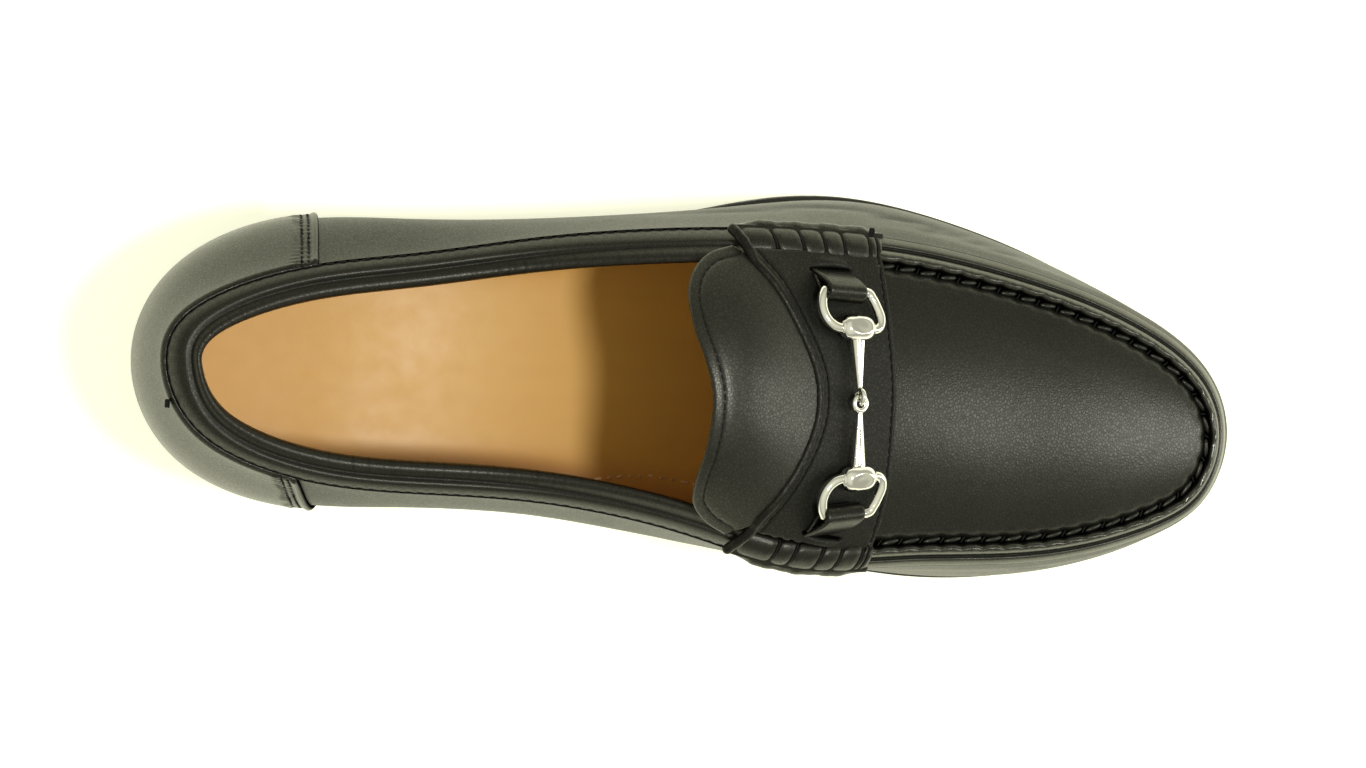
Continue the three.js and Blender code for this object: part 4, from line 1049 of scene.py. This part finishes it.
counter_low = base - normal * 0.1 * MM
# painted shade: darker in the stitch grooves, most at the holes, and in a thin line along the front edge
slab(
    "heel_counter", counter_top, counter_low, black_calf, ["counter"],
    {"shade_and_dullness": np.clip((0.15 + 0.85 * hole) * groove + bump(edge, 0.35 * MM), 0, 1)},
)
for side in ("outer", "inner"):
    gaps = (run[-1:] - run) if side == "outer" else run
    for number, away in enumerate(COUNTER_STITCH_ROWS):
        index = np.argmin(np.abs(gaps - away), axis=0)
        path = counter_top[index, np.arange(COUNTER_ROWS)][7:-4]
        up = normal[index, np.arange(COUNTER_ROWS)][7:-4]
        name = f"counter_stitches_{side}_{number + 1}"
        stitches(name, path, up, black_thread, "black_leather", 2.1 * MM, 1.3 * MM, 0.5 * MM, 0.35)

# Collar
# A padded binding round the opening: a stitched outer edge, a flat band, a trough, and a round roll that is
# crinkled across and turns down into the shoe. It leans, most at the heel and towards the throat.
COLLAR_ENDS = (-5.5, 5.47)
COLLAR_PROFILE = [
    # outwards from the top line and up, in mm
    (0.35, -1.0), (0.3, -0.5), (0.02, 0.0), (-0.3, 0.7), (-0.8, 1.5), (-1.4, 2.2), (-2.1, 2.7), (-2.9, 2.85),
    (-3.6, 2.45), (-4.1, 2.2), (-4.7, 2.45), (-5.5, 2.9), (-6.3, 3.0), (-7.1, 2.7), (-7.8, 1.9),
    (-8.2, 0.6), (-8.2, -0.8), (-7.7, -1.8), (-6.8, -2.2), (-5.6, -1.9), (-4.0, -1.4), (-2.2, -1.2),
    (-0.8, -1.3),
]
COLLAR_TILT = 0.6
COLLAR_LEAN = 0.12
HEEL_LEAN = 0.33
TROUGH_AT = 3.9 * MM
COLLAR_REACH = 8.2 * MM
COLLAR_CRINKLES = [
    # wave length in mm and size
    (1.35, 1.0), (2.1, 1.1), (3.3, 0.8), (0.9, 0.55), (5.1, 0.7),
]
section = rounded(COLLAR_PROFILE, 62) * MM
inwards, upwards = -section[None, :, 0], section[None, :, 1]
collar_s = np.linspace(*COLLAR_ENDS, 920)[:, None]
collar_run = run_along(top_line(collar_s[:, 0]))[:, None]
crinkle_rows = np.zeros_like(collar_run)
for number, (length, size) in enumerate(COLLAR_CRINKLES):
    crinkle_rows = crinkle_rows + size * np.sin(collar_run / (length * MM) * 2 * math.pi + 1.7 * number)
calm = 0.55 + 0.45 * np.sin(collar_run / (23 * MM)) * np.sin(collar_run / (9 * MM) + 1)
angle = np.arctan2(upwards - 0.3 * MM, inwards - 6.3 * MM)
on_roll = smooth((inwards - 4.5 * MM) / (0.8 * MM)) * smooth((upwards + 2.2 * MM) / (1.5 * MM))
shift = np.sin(angle * 2 + collar_run / (7 * MM)) * 0.5
crinkle = 0.02 * MM * crinkle_rows * calm * on_roll * (1 + 0.4 * shift)
puckers = np.cos(collar_run / (3.1 * MM) * 2 * math.pi)
at_edge = bump(inwards - 0.3 * MM, 0.5 * MM) * (upwards > 0)
at_heel = bump(collar_s, 1.15)
tilt = COLLAR_LEAN + HEEL_LEAN * at_heel + COLLAR_TILT * smooth((np.abs(collar_s) - 3.1) / 2.1)
trough_at = TROUGH_AT * (1 + 0.55 * at_heel)
inner_edge = COLLAR_REACH * (1 + 0.06 * at_heel)
before = inwards * trough_at / TROUGH_AT
after = trough_at + (inwards - TROUGH_AT) * (inner_edge - trough_at) / (COLLAR_REACH - TROUGH_AT)
pucker = 0.05 * MM * puckers * at_edge
out = pucker - np.where(inwards < TROUGH_AT, before, after)
up = upwards + crinkle + pucker + tilt * inwards
rings = top_line(collar_s, out, up)
# painted shade: darker in the trough, in the crevice at the outer seam line, and in the crinkles' hollows
trough_shade = 0.35 * bump(inwards - TROUGH_AT, 0.6 * MM) * (upwards > 0)
seam_line_shade = smooth((0.45 * MM - inwards) / (0.4 * MM))
crinkle_shade = np.clip(-crinkle_rows * calm * on_roll * 0.12, 0, 0.5)
sweep(
    "collar_binding_roll", rings, piping_calf, stands_for=["collar_binding"],
    values={"shade_and_dullness": np.clip(trough_shade + seam_line_shade + crinkle_shade, 0, 1)},
)
stitch_s = np.linspace(*COLLAR_ENDS, 900)
stitch_path = top_line(stitch_s, 0.1 * MM, 0.0)
upright = np.tile([0, 0, 1.0], (len(stitch_path), 1))
stitches(
    "collar_stitches", stitch_path, upright, black_thread, "black_leather", 3.1 * MM, 2.3 * MM, 0.4 * MM
)

# Gathered side seams
# A thick roll each side of the saddle, tied round with thread: plump between the ties, each tie slanting
# forward from the wall to the saddle. The saddle's end laps over the roll and down the wall in a thin edge.
GATHER_RADIUS = 3.45 * MM
GATHER_OUT = -3.3 * MM
GATHER_UP = 1.3 * MM
GATHER_SIDES = 46
GATHER_TILT = 0.35
TIE_RADIUS = 0.28 * MM
LAP_PROFILE = [
    # outwards from the top line and up, in mm
    (1.5, -2.6), (2.1, -2.5), (2.3, -1.9), (2.0, -1.0), (1.3, -0.2), (0.5, 0.3), (-0.6, 0.3), (0.4, -1.4),
]
LAP_BEND = 1.2 * MM
GATHERS = [
    # side, ends, ties as shares of its length, forward slant of a tie in mm
    ("outer", GATHER_OUTER, (0.21, 0.395, 0.555, 0.7, 0.895, 0.958), 0.6),
    ("inner", GATHER_INNER, (0.054, 0.103, 0.27, 0.415, 0.61, 0.74), -0.6),
]
lap_section = rounded(LAP_PROFILE, 28)[None] * MM


def circles(middle, first, second, radius, sides):
    """Rings of a cord: round each middle a circle of that radius, first by cosine plus second by sine."""
    turn = np.linspace(0, 2 * math.pi, sides, endpoint=False)[None, :, None]
    first, second = (np.broadcast_to(axis, middle.shape)[:, None] for axis in (first, second))
    radius = np.broadcast_to(radius, (len(middle),))[:, None, None]
    return middle[:, None] + radius * (first * np.cos(turn) + second * np.sin(turn))


for side, (start, stop), ties, slant in GATHERS:
    place = np.linspace(start, stop, 250)[:, None]
    run = run_along(top_line(place[:, 0]))[:, None]
    turn = np.linspace(0, 2 * math.pi, GATHER_SIDES, endpoint=False)[None]
    lag = slant * MM * (0.5 * np.cos(turn) - 0.5 * np.maximum(np.sin(turn), 0))
    nearest_tie = np.full((len(run), GATHER_SIDES), 1.0)
    for tie in ties:
        nearest_tie = np.minimum(nearest_tie, np.abs(run - tie * run[-1] + lag))
    pinch = bump(nearest_tie, 0.42 * MM)
    plump = 1 + 0.08 * smooth(nearest_tie / (2 * MM)) - 0.16 * pinch
    ripple = 0.05 * MM * np.sin(turn * 9 + run / (1.3 * MM)) * bump(nearest_tie, 1.8 * MM)
    radius = GATHER_RADIUS * plump * (0.55 + 0.45 * rim(np.minimum(run, run[-1] - run), 5 * MM)) + ripple
    out = GATHER_OUT + radius * np.cos(turn) * 1.02
    up = GATHER_UP + radius * np.sin(turn) * 0.92
    rings = top_line(place, out, up - GATHER_TILT * (out - GATHER_OUT))
    name = f"gathered_seam_{side}"
    # painted shade: the roll darkens where each tie pinches it
    sweep(
        name + "_roll", rings, piping_calf, stands_for=[name],
        values={"shade_and_dullness": np.clip(pinch, 0, 1) * 0.8},
    )
    for number, tie in enumerate(ties):
        path_run = np.clip(tie * run[-1] - lag[0], 0, run[-1])
        path_s = np.interp(path_run, run[:, 0], place[:, 0])
        size = GATHER_RADIUS * 0.915
        tie_out = GATHER_OUT + size * np.cos(turn[0])
        tie_up = GATHER_UP + size * np.sin(turn[0]) * 0.92 - GATHER_TILT * (tie_out - GATHER_OUT)
        middle = top_line(path_s, tie_out, tie_up)
        ahead = unit(np.roll(middle, -1, 0) - np.roll(middle, 1, 0))
        radial = unit(middle - middle.mean(0))
        loop = circles(middle, radial, unit(np.cross(ahead, radial)), TIE_RADIUS, 10)
        sweep(f"gather_thread_{side}_{number + 1}", loop, black_thread, True)
    lap_s = np.linspace(start - 0.02, stop + 0.02, 120)[:, None]
    spread = smooth((lap_s - start) / 0.22) * smooth((stop - lap_s) / 0.22)
    waver = 0.14 * MM * np.sin(lap_s * 19) + 0.06 * MM * np.sin(lap_s * 47)
    lap_out = lap_section[..., 0]
    spread_out = LAP_BEND + (lap_out - LAP_BEND + waver) * spread
    lap = top_line(lap_s, np.where(lap_out > LAP_BEND, spread_out, lap_out), lap_section[..., 1])
    sweep(f"saddle_lap_{side}", lap, black_calf)
    bead_s = np.linspace(start + 0.03, stop - 0.03, 200)
    bead_line = seam_point(bead_s, 7.3 * MM, 1.35 * MM)
    bead_lift = lid_normal(bead_line[:, 0], bead_line[:, 1])
    turned = 0.12 if side == "outer" else -0.12
    points, faces = capsule_rows(bead_line, bead_lift, 3.4 * MM, 2.6 * MM, 1.5 * MM, 1.7 * MM, 0.5, turned)
    add_piece(f"gather_beads_{side}", points, [faces], piping_calf, weld=True)

# Tongue
# The end of the vamp behind the piping: black calf with a scalloped rear edge and a row of stitches beside
# it, over a tan lining cut just inside that edge.
PIPING_LINE = [
    # shares of length and ball width
    (0.002, 0.395), (0.0, 0.34), (0.022, 0.27), (0.044, 0.175), (0.061, 0.085), (0.0665, 0.01),
    (0.064, -0.06), (0.054, -0.14), (0.04, -0.215), (0.026, -0.275), (0.012, -0.345),
]
TONGUE_EDGE = [
    # shares of length and ball width
    (-0.012, 0.355), (-0.031, 0.333), (-0.044, 0.29), (-0.0485, 0.235), (-0.044, 0.165), (-0.035, 0.095),
    (-0.028, 0.025), (-0.0265, -0.045), (-0.028, -0.12), (-0.031, -0.19), (-0.029, -0.245),
    (-0.016, -0.29), (0.002, -0.32),
]
TONGUE_LEATHER = 1.5 * MM


def over_lid(x, y, up):
    """A point at a distance over the lid, along its normal."""
    base = np.stack(np.broadcast_arrays(x, y, lid_height(x, y)), -1)
    return base + lid_normal(x, y) * np.asarray(up)[..., None]


def plan_curve(shares, count, start=0.0, stop=1.0):
    """A smooth open curve in plan through places given as shares of length and ball width, evenly stepped."""
    knots = np.array(shares) * [LENGTH, BALL_WIDTH]
    knots = np.concatenate([[2 * knots[0] - knots[1]], knots, [2 * knots[-1] - knots[-2]]])
    at = np.linspace(0, len(knots) - 3, 40 * len(knots))
    i = np.minimum(at.astype(int), len(knots) - 4)
    t = (at - i)[:, None]
    a, b, c, d = knots[i], knots[i + 1], knots[i + 2], knots[i + 3]
    curve = b + 0.5 * t * (c - a + t * (2 * a - 5 * b + 4 * c - d + t * (3 * (b - c) + d - a)))
    run = run_along(curve)
    even = (start + (stop - start) * np.linspace(0, 1, count)) * run[-1]
    return at_run(curve, run, even)


def grid_between(first, second, rows):
    """Rows of plan points from one curve to the other, close together at both."""
    share = eased(rows)[:, None, None]
    return first[None] + (second - first)[None] * share


def border_gap(plan):
    """Distance of each grid point from the grid's own border."""
    ring = np.concatenate([plan[0], plan[:, -1], plan[-1][::-1], plan[::-1, 0]])
    flat = plan.reshape(-1, 2)
    gap = np.concatenate(
        [np.linalg.norm(part[:, None] - ring[None], axis=-1).min(1) for part in np.array_split(flat, 16)]
    )
    return gap.reshape(plan.shape[:2])


def lid_sheet(name, plan, low, thickness, material, relief=0.0, shade_and_dullness=0.0, stands_for=()):
    """A leather on the lid between two heights, with rounded edges; relief is added to its top."""
    gap = border_gap(plan)
    x, y = plan[..., 0], plan[..., 1]
    middle = low + thickness / 2
    swell = rim(gap, thickness) * thickness / 2
    top = over_lid(x, y, middle + swell + relief)
    bottom = over_lid(x, y, middle - swell)
    slab(name, top, bottom, material, stands_for, {"shade_and_dullness": shade_and_dullness + 0 * gap, "edge": 0 * gap})


def beside(curve, towards, distance):
    """A plan curve moved sideways by a distance, to the side where towards lies."""
    heading = np.gradient(curve, axis=0)
    side = unit(np.stack([-heading[:, 1], heading[:, 0]], -1))
    side = side * np.sign(np.sum(side * (towards - curve)))
    return curve + side * distance


def sewn_row(name, curve, towards, distance, height, pitch, skip, **looks):
    """Black stitches beside a curve, at a height over the lid, with a few places skipped at both ends."""
    row = beside(curve, towards, distance)[skip:-skip]
    up = lid_normal(row[:, 0], row[:, 1])
    path = over_lid(row[:, 0], row[:, 1], np.full(len(row), height))
    stitches(name, path, up, black_thread, "black_leather", pitch, **looks)


tongue_across = eased(150)
edge_curve = plan_curve(TONGUE_EDGE, 400)
pick = (tongue_across * 399).astype(int)
front_curve = plan_curve(PIPING_LINE, 400, 0.07, 0.93)
tongue_plan = grid_between(edge_curve[pick], front_curve[pick], 114)
rear_gap = np.linalg.norm(tongue_plan[:, :, None] - edge_curve[None, None, ::4], axis=-1).min(-1)
TONGUE_STITCH = 2.6 * MM
tongue_relief = (
    0.1 * MM * bump(rear_gap - 0.9 * MM, 0.8 * MM)
    - 0.18 * MM * bump(rear_gap - TONGUE_STITCH, 0.4 * MM)
    + 0.08 * MM * bump(rear_gap - 4.2 * MM, 1.4 * MM)
)
TONGUE_LOW = 1.2 * MM
# painted shade along the stitch groove beside the rear edge
lid_sheet(
    "tongue_leather", tongue_plan, TONGUE_LOW, TONGUE_LEATHER, soft_calf, tongue_relief,
    0.45 * bump(rear_gap - TONGUE_STITCH, 0.25 * MM), ["tongue"],
)
lining_rear = edge_curve[pick] - unit(edge_curve[pick] - front_curve[pick]) * 0.25 * MM
lining_plan = grid_between(lining_rear, front_curve[pick], 24)
lid_sheet("tongue_lining", lining_plan, TONGUE_LOW - 1.25 * MM, 1.2 * MM, tan_leather)
sewn_row(
    "tongue_stitches", edge_curve, front_curve, TONGUE_STITCH, TONGUE_LOW + TONGUE_LEATHER - 0.22 * MM,
    2.35 * MM, 14, length=1.8 * MM, width=0.55 * MM,
)

# Saddle
# The band of calf under the bit. Its front edge is sewn down on the apron, its rear edge lies under the
# piping, and a slit near each end lets a tab out; the leather beyond the slit swells in a small lip.
SADDLE_LOW = 0.4 * MM
SADDLE_LEATHER = 1.6 * MM
SADDLE_FRONT = [
    # shares of length and ball width
    (0.121, 0.375), (0.1265, 0.3), (0.132, 0.21), (0.1375, 0.11), (0.1405, 0.03), (0.1413, -0.05),
    (0.1418, -0.14), (0.1405, -0.24), (0.136, -0.32), (0.13, -0.375),
]
saddle_rear = plan_curve(PIPING_LINE, 400, 0.045, 0.955)
saddle_front = plan_curve(SADDLE_FRONT, 400)
saddle_pick = (eased(170) * 399).astype(int)
saddle_plan = grid_between(saddle_rear[saddle_pick], saddle_front[saddle_pick], 100)
SLITS = {
    # where a slit starts and ends in plan, in mm
    "outer": ((16.6, 32.7), (27.0, 33.0)),
    "inner": ((20.2, -32.0), (30.2, -33.6)),
}
front_gap = np.linalg.norm(saddle_plan[:, :, None] - saddle_front[None, None, ::4], axis=-1).min(-1)
rear_gap = np.linalg.norm(saddle_plan[:, :, None] - saddle_rear[None, None, ::4], axis=-1).min(-1)
SADDLE_STITCH = 1.3 * MM
PIPING_STITCH = 3.0 * MM
front_row = front_gap - SADDLE_STITCH
rear_row = rear_gap - PIPING_STITCH
pucker = np.cos(saddle_plan[..., 1] / (1.3 * MM) * 2 * math.pi)
saddle_relief = (
    0.13 * MM * pucker * bump(front_gap - 0.5 * MM, 0.6 * MM)
    - 0.2 * MM * bump(front_row, 0.4 * MM)
    - 0.16 * MM * bump(rear_row, 0.4 * MM)
)
# duller all over, with painted shade in both stitch grooves and in each slit
saddle_shade_and_dullness = 0.42 + 0.4 * bump(front_row, 0.25 * MM) + 0.4 * bump(rear_row, 0.25 * MM)
for side, (start, stop) in SLITS.items():
    a, b = np.array(start) * MM, np.array(stop) * MM
    along = b - a
    share = np.clip(((saddle_plan - a) @ along) / (along @ along), 0, 1)
    near = np.linalg.norm(saddle_plan - a - share[..., None] * along, axis=-1)
    beyond = (saddle_plan[..., 1] - (a[1] + (b[1] - a[1]) * share)) * np.sign(a[1])
    lip = bump(near - 1.5 * MM, 1.3 * MM) * (beyond > 0) * np.sin(np.clip(share, 0.02, 0.98) * math.pi)
    saddle_relief = saddle_relief + 0.9 * MM * lip - 0.9 * MM * bump(near, 0.4 * MM)
    saddle_shade_and_dullness = saddle_shade_and_dullness + bump(near, 0.45 * MM)
lid_sheet(
    "saddle_leather", saddle_plan, SADDLE_LOW, SADDLE_LEATHER, soft_calf, saddle_relief,
    np.clip(saddle_shade_and_dullness, 0, 1), ["saddle"],
)
thread_height = SADDLE_LOW + SADDLE_LEATHER - 0.08 * MM
SADDLE_ROWS = [
    # name, edge it follows, opposite edge, distance between edge and row, thread's width
    ("saddle_front_stitches", saddle_front, saddle_rear, SADDLE_STITCH, 0.7 * MM),
    ("saddle_rear_stitches", saddle_rear, saddle_front, PIPING_STITCH, 0.65 * MM),
]
for name, curve, towards, distance, thick in SADDLE_ROWS:
    sewn_row(name, curve, towards, distance, thread_height, 2.6 * MM, 26, width=thick)

# Piping
# A narrow roll of calf across the instep, sewn in between tongue and saddle, its ends hanging over the
# gathered seams.
PIPING_RADIUS = 1.35 * MM
PIPING_HEIGHT = 2.3 * MM
PIPING_STEPS = 420
piping_plan = plan_curve(PIPING_LINE, 300, 0.09, 0.91)
piping_path = over_lid(piping_plan[:, 0], piping_plan[:, 1], np.full(len(piping_plan), PIPING_HEIGHT))
# The hanging ends, from the saddle outwards, in mm
OUTER_END = [(0.6, 36.8, 82.4), (-1.2, 39.2, 81.4), (-2.7, 41.0, 79.8), (-4.3, 42.5, 77.6)]
INNER_END = [(6.7, -33.0, 82.4), (4.9, -34.9, 81.4), (3.3, -36.5, 80.0), (1.0, -39.0, 77.8)]
piping_path = np.concatenate([np.array(OUTER_END[::-1]) * MM, piping_path, np.array(INNER_END) * MM])


def smooth_path(path, count, passes):
    """The path resampled evenly and eased by repeated averaging, its ends kept."""
    run = run_along(path)
    path = at_run(path, run, np.linspace(0, run[-1], count))
    for _ in range(passes):
        path[1:-1] = (path[:-2] + 2 * path[1:-1] + path[2:]) / 4
    return path


def tube(path, radius, sides, flat=1.0):
    """Rings of a round cord along an open path, upright side kept up; radius may change along it."""
    ahead = unit(np.gradient(path, axis=0))
    up = unit(np.array([0, 0, 1.0]) - ahead * ahead[:, 2:])
    return circles(path, np.cross(ahead, up), flat * up, radius, sides)


piping_path = smooth_path(piping_path, PIPING_STEPS, 40)
run = np.linspace(0, 1, PIPING_STEPS)
to_tip = np.clip(np.minimum(run, 1 - run) * PIPING_STEPS / 6, 0, 1)
tip = np.sqrt(np.clip(1 - (1 - to_tip) ** 2, 0.05, 1))
wrinkle = 1 + 0.02 * np.sin(run * 140) + 0.015 * np.sin(run * 231 + 1)
rings = tube(piping_path, PIPING_RADIUS * tip * wrinkle, 22, 0.95)
sweep(
    "saddle_piping_roll", rings, black_calf, stands_for=["saddle_piping"],
    values={"shade_and_dullness": np.full(rings.shape[:2], 0.45)},
)

# Bit
# Polished nickel: two D rings, each through an oval barrel with a dished face, and two tapered bars with a
# flute, linked by small eyes. The rings are held by folded leather tabs.
nickel, tree, shader = new_material("polished nickel")
wear = use_group(tree, worn, Size_mm=5.0)
tree.links.new(clouded(tree, wear, (0.80, 0.785, 0.73), (0.88, 0.87, 0.83)), shader.inputs["Base Color"])
shader.inputs["Metallic"].default_value = 1.0
tree.links.new(roughened(tree, wear, 0.12, 0.1), shader.inputs["Roughness"])
bumped(tree, shader, noise_node(tree, 700.0, 2.0), 0.03, 0.2 * MM)
RING_WIRE = 1.35 * MM
RING_WIDTH = 19.8 * MM
TAB_LEATHER = 1.3 * MM
BARREL_LENGTH = 9.6 * MM
BARREL_RADIUS = 3.1 * MM
EYE_RADIUS = 1.75 * MM
EYE_WIRE = 0.7 * MM
BIT_PLACES = {
    # the ring's side at the tab and the barrel's middle, as shares of length and ball width
    "outer": ((0.093, 0.271), (0.095, 0.187)),
    "inner": ((0.1083, -0.258), (0.1062, -0.171)),
}
LINK_PLACE = (0.1027, 0.0167)
BIT_BASE = SADDLE_LOW + SADDLE_LEATHER + 0.3 * MM


def over_saddle(share, up):
    """One point over the saddle, at a place given as shares of length and ball width."""
    x = np.array([share[0] * LENGTH])
    y = np.array([share[1] * BALL_WIDTH])
    return over_lid(x, y, np.array([up]))[0] + np.array([0, 0, BIT_BASE])


RING_SHAPE = [
    # along the barrel, as a share of the ring's width, and across from tab to barrel, as a share of its reach
    (-0.46, 0), (-0.1, 0), (0.2, 0), (0.29, 0.16), (0.36, 0.4), (0.415, 0.68), (0.385, 0.92), (0.27, 1.02),
    (-0.02, 1), (-0.3, 1.03), (-0.46, 0.9), (-0.55, 0.68), (-0.58, 0.4), (-0.545, 0.12),
]
link_point = over_saddle(LINK_PLACE, EYE_RADIUS + EYE_WIRE + 0.1 * MM)
barrel_points = {side: over_saddle(BIT_PLACES[side][1], BARREL_RADIUS + 0.1 * MM) for side in BIT_PLACES}
link_line = unit(barrel_points["outer"] - barrel_points["inner"])
tab_frames = {}
for side, sign in (("outer", 1), ("inner", -1)):
    (tab_share, barrel_share) = BIT_PLACES[side]
    tab_point = over_saddle(tab_share, TAB_LEATHER + CLEARANCE + RING_WIRE)
    barrel_point = barrel_points[side]
    across = barrel_point - tab_point
    reach = np.linalg.norm(across)
    across = across / reach
    step = RING_WIDTH / 2 / LENGTH
    before, behind = (over_saddle((barrel_share[0] + off, barrel_share[1]), 0) for off in (step, -step))
    forward = before - behind
    along = unit(forward - across * (forward @ across))
    up = unit(np.cross(along, across))
    up = up * np.sign(up[2])
    tab_frames[side] = (tab_point, across, along, up)
    shape = rounded(RING_SHAPE, 160)
    middle = tab_point + along * shape[:, :1] * (RING_WIDTH - 2 * RING_WIRE) + across * shape[:, 1:] * reach
    heading = unit(np.roll(middle, -1, 0) - np.roll(middle, 1, 0))
    ring = circles(middle, np.cross(heading, up), up, RING_WIRE, 28)
    sweep(f"bit_ring_{side}_wire", ring, nickel, True, [f"bit_ring_{side}"])

    rows = np.linspace(-1, 1, 60)
    turn = np.linspace(0, 2 * math.pi, 64, endpoint=False)
    swell = np.clip(1 - np.abs(rows) ** 3.4, 0, 1) ** 0.4
    swell = np.maximum(swell, 0.56 * (np.abs(rows) < 0.999))
    lift = np.sin(turn)[None]
    radius = BARREL_RADIUS * swell[:, None] * np.ones_like(lift)
    oval = (rows[:, None] / 0.74) ** 2 + (np.cos(turn)[None] * radius / (0.66 * BARREL_RADIUS)) ** 2
    dish = 0.42 * MM * smooth((1 - oval) / 0.9) * (lift > 0)
    barrel = (
        barrel_point
        + along * (rows[:, None, None] * BARREL_LENGTH / 2)
        + across * (radius * 1.08 * np.cos(turn)[None])[..., None]
        + up * ((radius * lift * 0.92) - dish)[..., None]
    )
    sweep(f"bit_barrel_{side}", barrel, nickel, stands_for=[f"bit_bar_{side}"])

    eye_point = link_point + link_line * sign * EYE_RADIUS / 2
    line = eye_point - barrel_point
    length = np.linalg.norm(line) - EYE_RADIUS
    line = unit(line)
    bar_side = unit(np.cross(line, up))
    bar_up = np.cross(bar_side, line)
    bar_up = bar_up * np.sign(bar_up[2])
    share = np.linspace(0, 1, 70)[:, None]
    bar_start = 1.2 * MM
    thick = (2.1 * (1 - share) + 0.62 * share) * MM
    thick = thick + 0.35 * MM * bump(share, 0.05)
    from_flute = (turn[None] - math.pi / 2 - 0.3 + math.pi) % (2 * math.pi) - math.pi
    flute = 0.55 * bump(from_flute, 0.26) * (1 - share**3)
    radius = thick * (1 - flute)
    bar = (
        barrel_point
        + line * (bar_start + share * (length - bar_start + 0.4 * MM))[..., None]
        + bar_side * (radius * np.cos(turn)[None])[..., None]
        + bar_up * (radius * np.sin(turn)[None] * 0.8)[..., None]
    )
    sweep(f"bit_bar_{side}_fluted", bar, nickel)

    sideways = unit(forward - link_line * (forward @ link_line))
    upright = np.cross(sideways, link_line)
    flat_axis = sideways if sign > 0 else upright
    other = np.cross(flat_axis, link_line)
    turn = np.linspace(0, 2 * math.pi, 56, endpoint=False)[:, None, None]
    wire = np.linspace(0, 2 * math.pi, 20, endpoint=False)[None, :, None]
    spoke = link_line * np.cos(turn) + other * np.sin(turn)
    eye = eye_point + spoke * (EYE_RADIUS + EYE_WIRE * np.cos(wire)) + flat_axis * EYE_WIRE * np.sin(wire)
    sweep(f"bit_eye_{side}", eye, nickel, True)

# Tabs
# Each a strap of calf that comes out of its slit in the saddle, runs slanting forward, folds over the ring's
# wire and goes back under itself.
TAB_WIDTH = 11.2 * MM
TAB_OFFSETS = {"outer": 3.3 * MM, "inner": 4.0 * MM}
for side, (tab_point, across, along, up) in tab_frames.items():
    a, b = (np.array(end) * MM for end in SLITS[side])
    slit = (a + b) / 2
    slit_point = over_lid(slit[:1], slit[1:], np.array([SADDLE_LOW + SADDLE_LEATHER - 1.2 * MM]))[0]
    fold_point = tab_point - along * TAB_OFFSETS[side]
    reach = RING_WIRE + CLEARANCE + TAB_LEATHER / 2
    turn = np.linspace(math.pi * 0.52, -math.pi / 2, 26)
    bend = fold_point + reach * (across * np.cos(turn)[:, None] + up * np.sin(turn)[:, None])
    ease = eased(26)[:, None]
    over_top = slit_point * (1 - ease) + bend[0] * ease + up * (0.9 * MM * np.sin(ease * math.pi))
    under = bend[-1] + (slit_point - bend[-1]) * np.linspace(0.05, 0.8, 14)[:, None]
    under[:, 2] = np.maximum(under[:, 2], lid_height(under[:, 0], under[:, 1]) + BIT_BASE + 0.1 * MM)
    path = smooth_path(np.concatenate([over_top, bend[1:], under]), 90, 5)
    heading = unit(np.gradient(path, axis=0))
    facing = unit(np.cross(heading, np.broadcast_to(along, heading.shape)))
    facing = facing * np.sign(facing[0] @ up)
    w = np.linspace(-1, 1, 26)
    edge_gap = (1 - np.abs(w)) * TAB_WIDTH / 2
    half = TAB_LEATHER / 2 * rim(edge_gap, TAB_LEATHER)
    middle = path[:, None] + np.broadcast_to(along, path.shape)[:, None] * (w * TAB_WIDTH / 2)[None, :, None]
    tab_top = middle + facing[:, None] * half[None, :, None]
    tab_low = middle - facing[:, None] * half[None, :, None]
    slab(f"tab_{side}_strap", tab_top, tab_low, black_calf, [f"tab_{side}"])

# Thread ends
# Small knots of black thread, one on the collar's seam at the inner heel and one at the outer gathered seam.
KNOTS = [
    # where it is, its middle in mm and its size
    ("collar", (-139.2, -11.4, 77.4), 0.8),
    ("gather", (32.6, 43.6, 74.2), 0.9),
]
for name, centre, size in KNOTS:
    loops = np.linspace(0, 10 * math.pi, 160)
    tangle = [0.55 * np.cos(1.3 * loops), 1.1 * np.sin(0.9 * loops + 0.4), 0.35 * np.sin(2.1 * loops)]
    path = np.array(centre) * MM + np.stack(tangle, -1) * size * MM
    sweep(f"thread_knot_{name}", tube(path, 0.25 * size * MM, 8), black_thread)
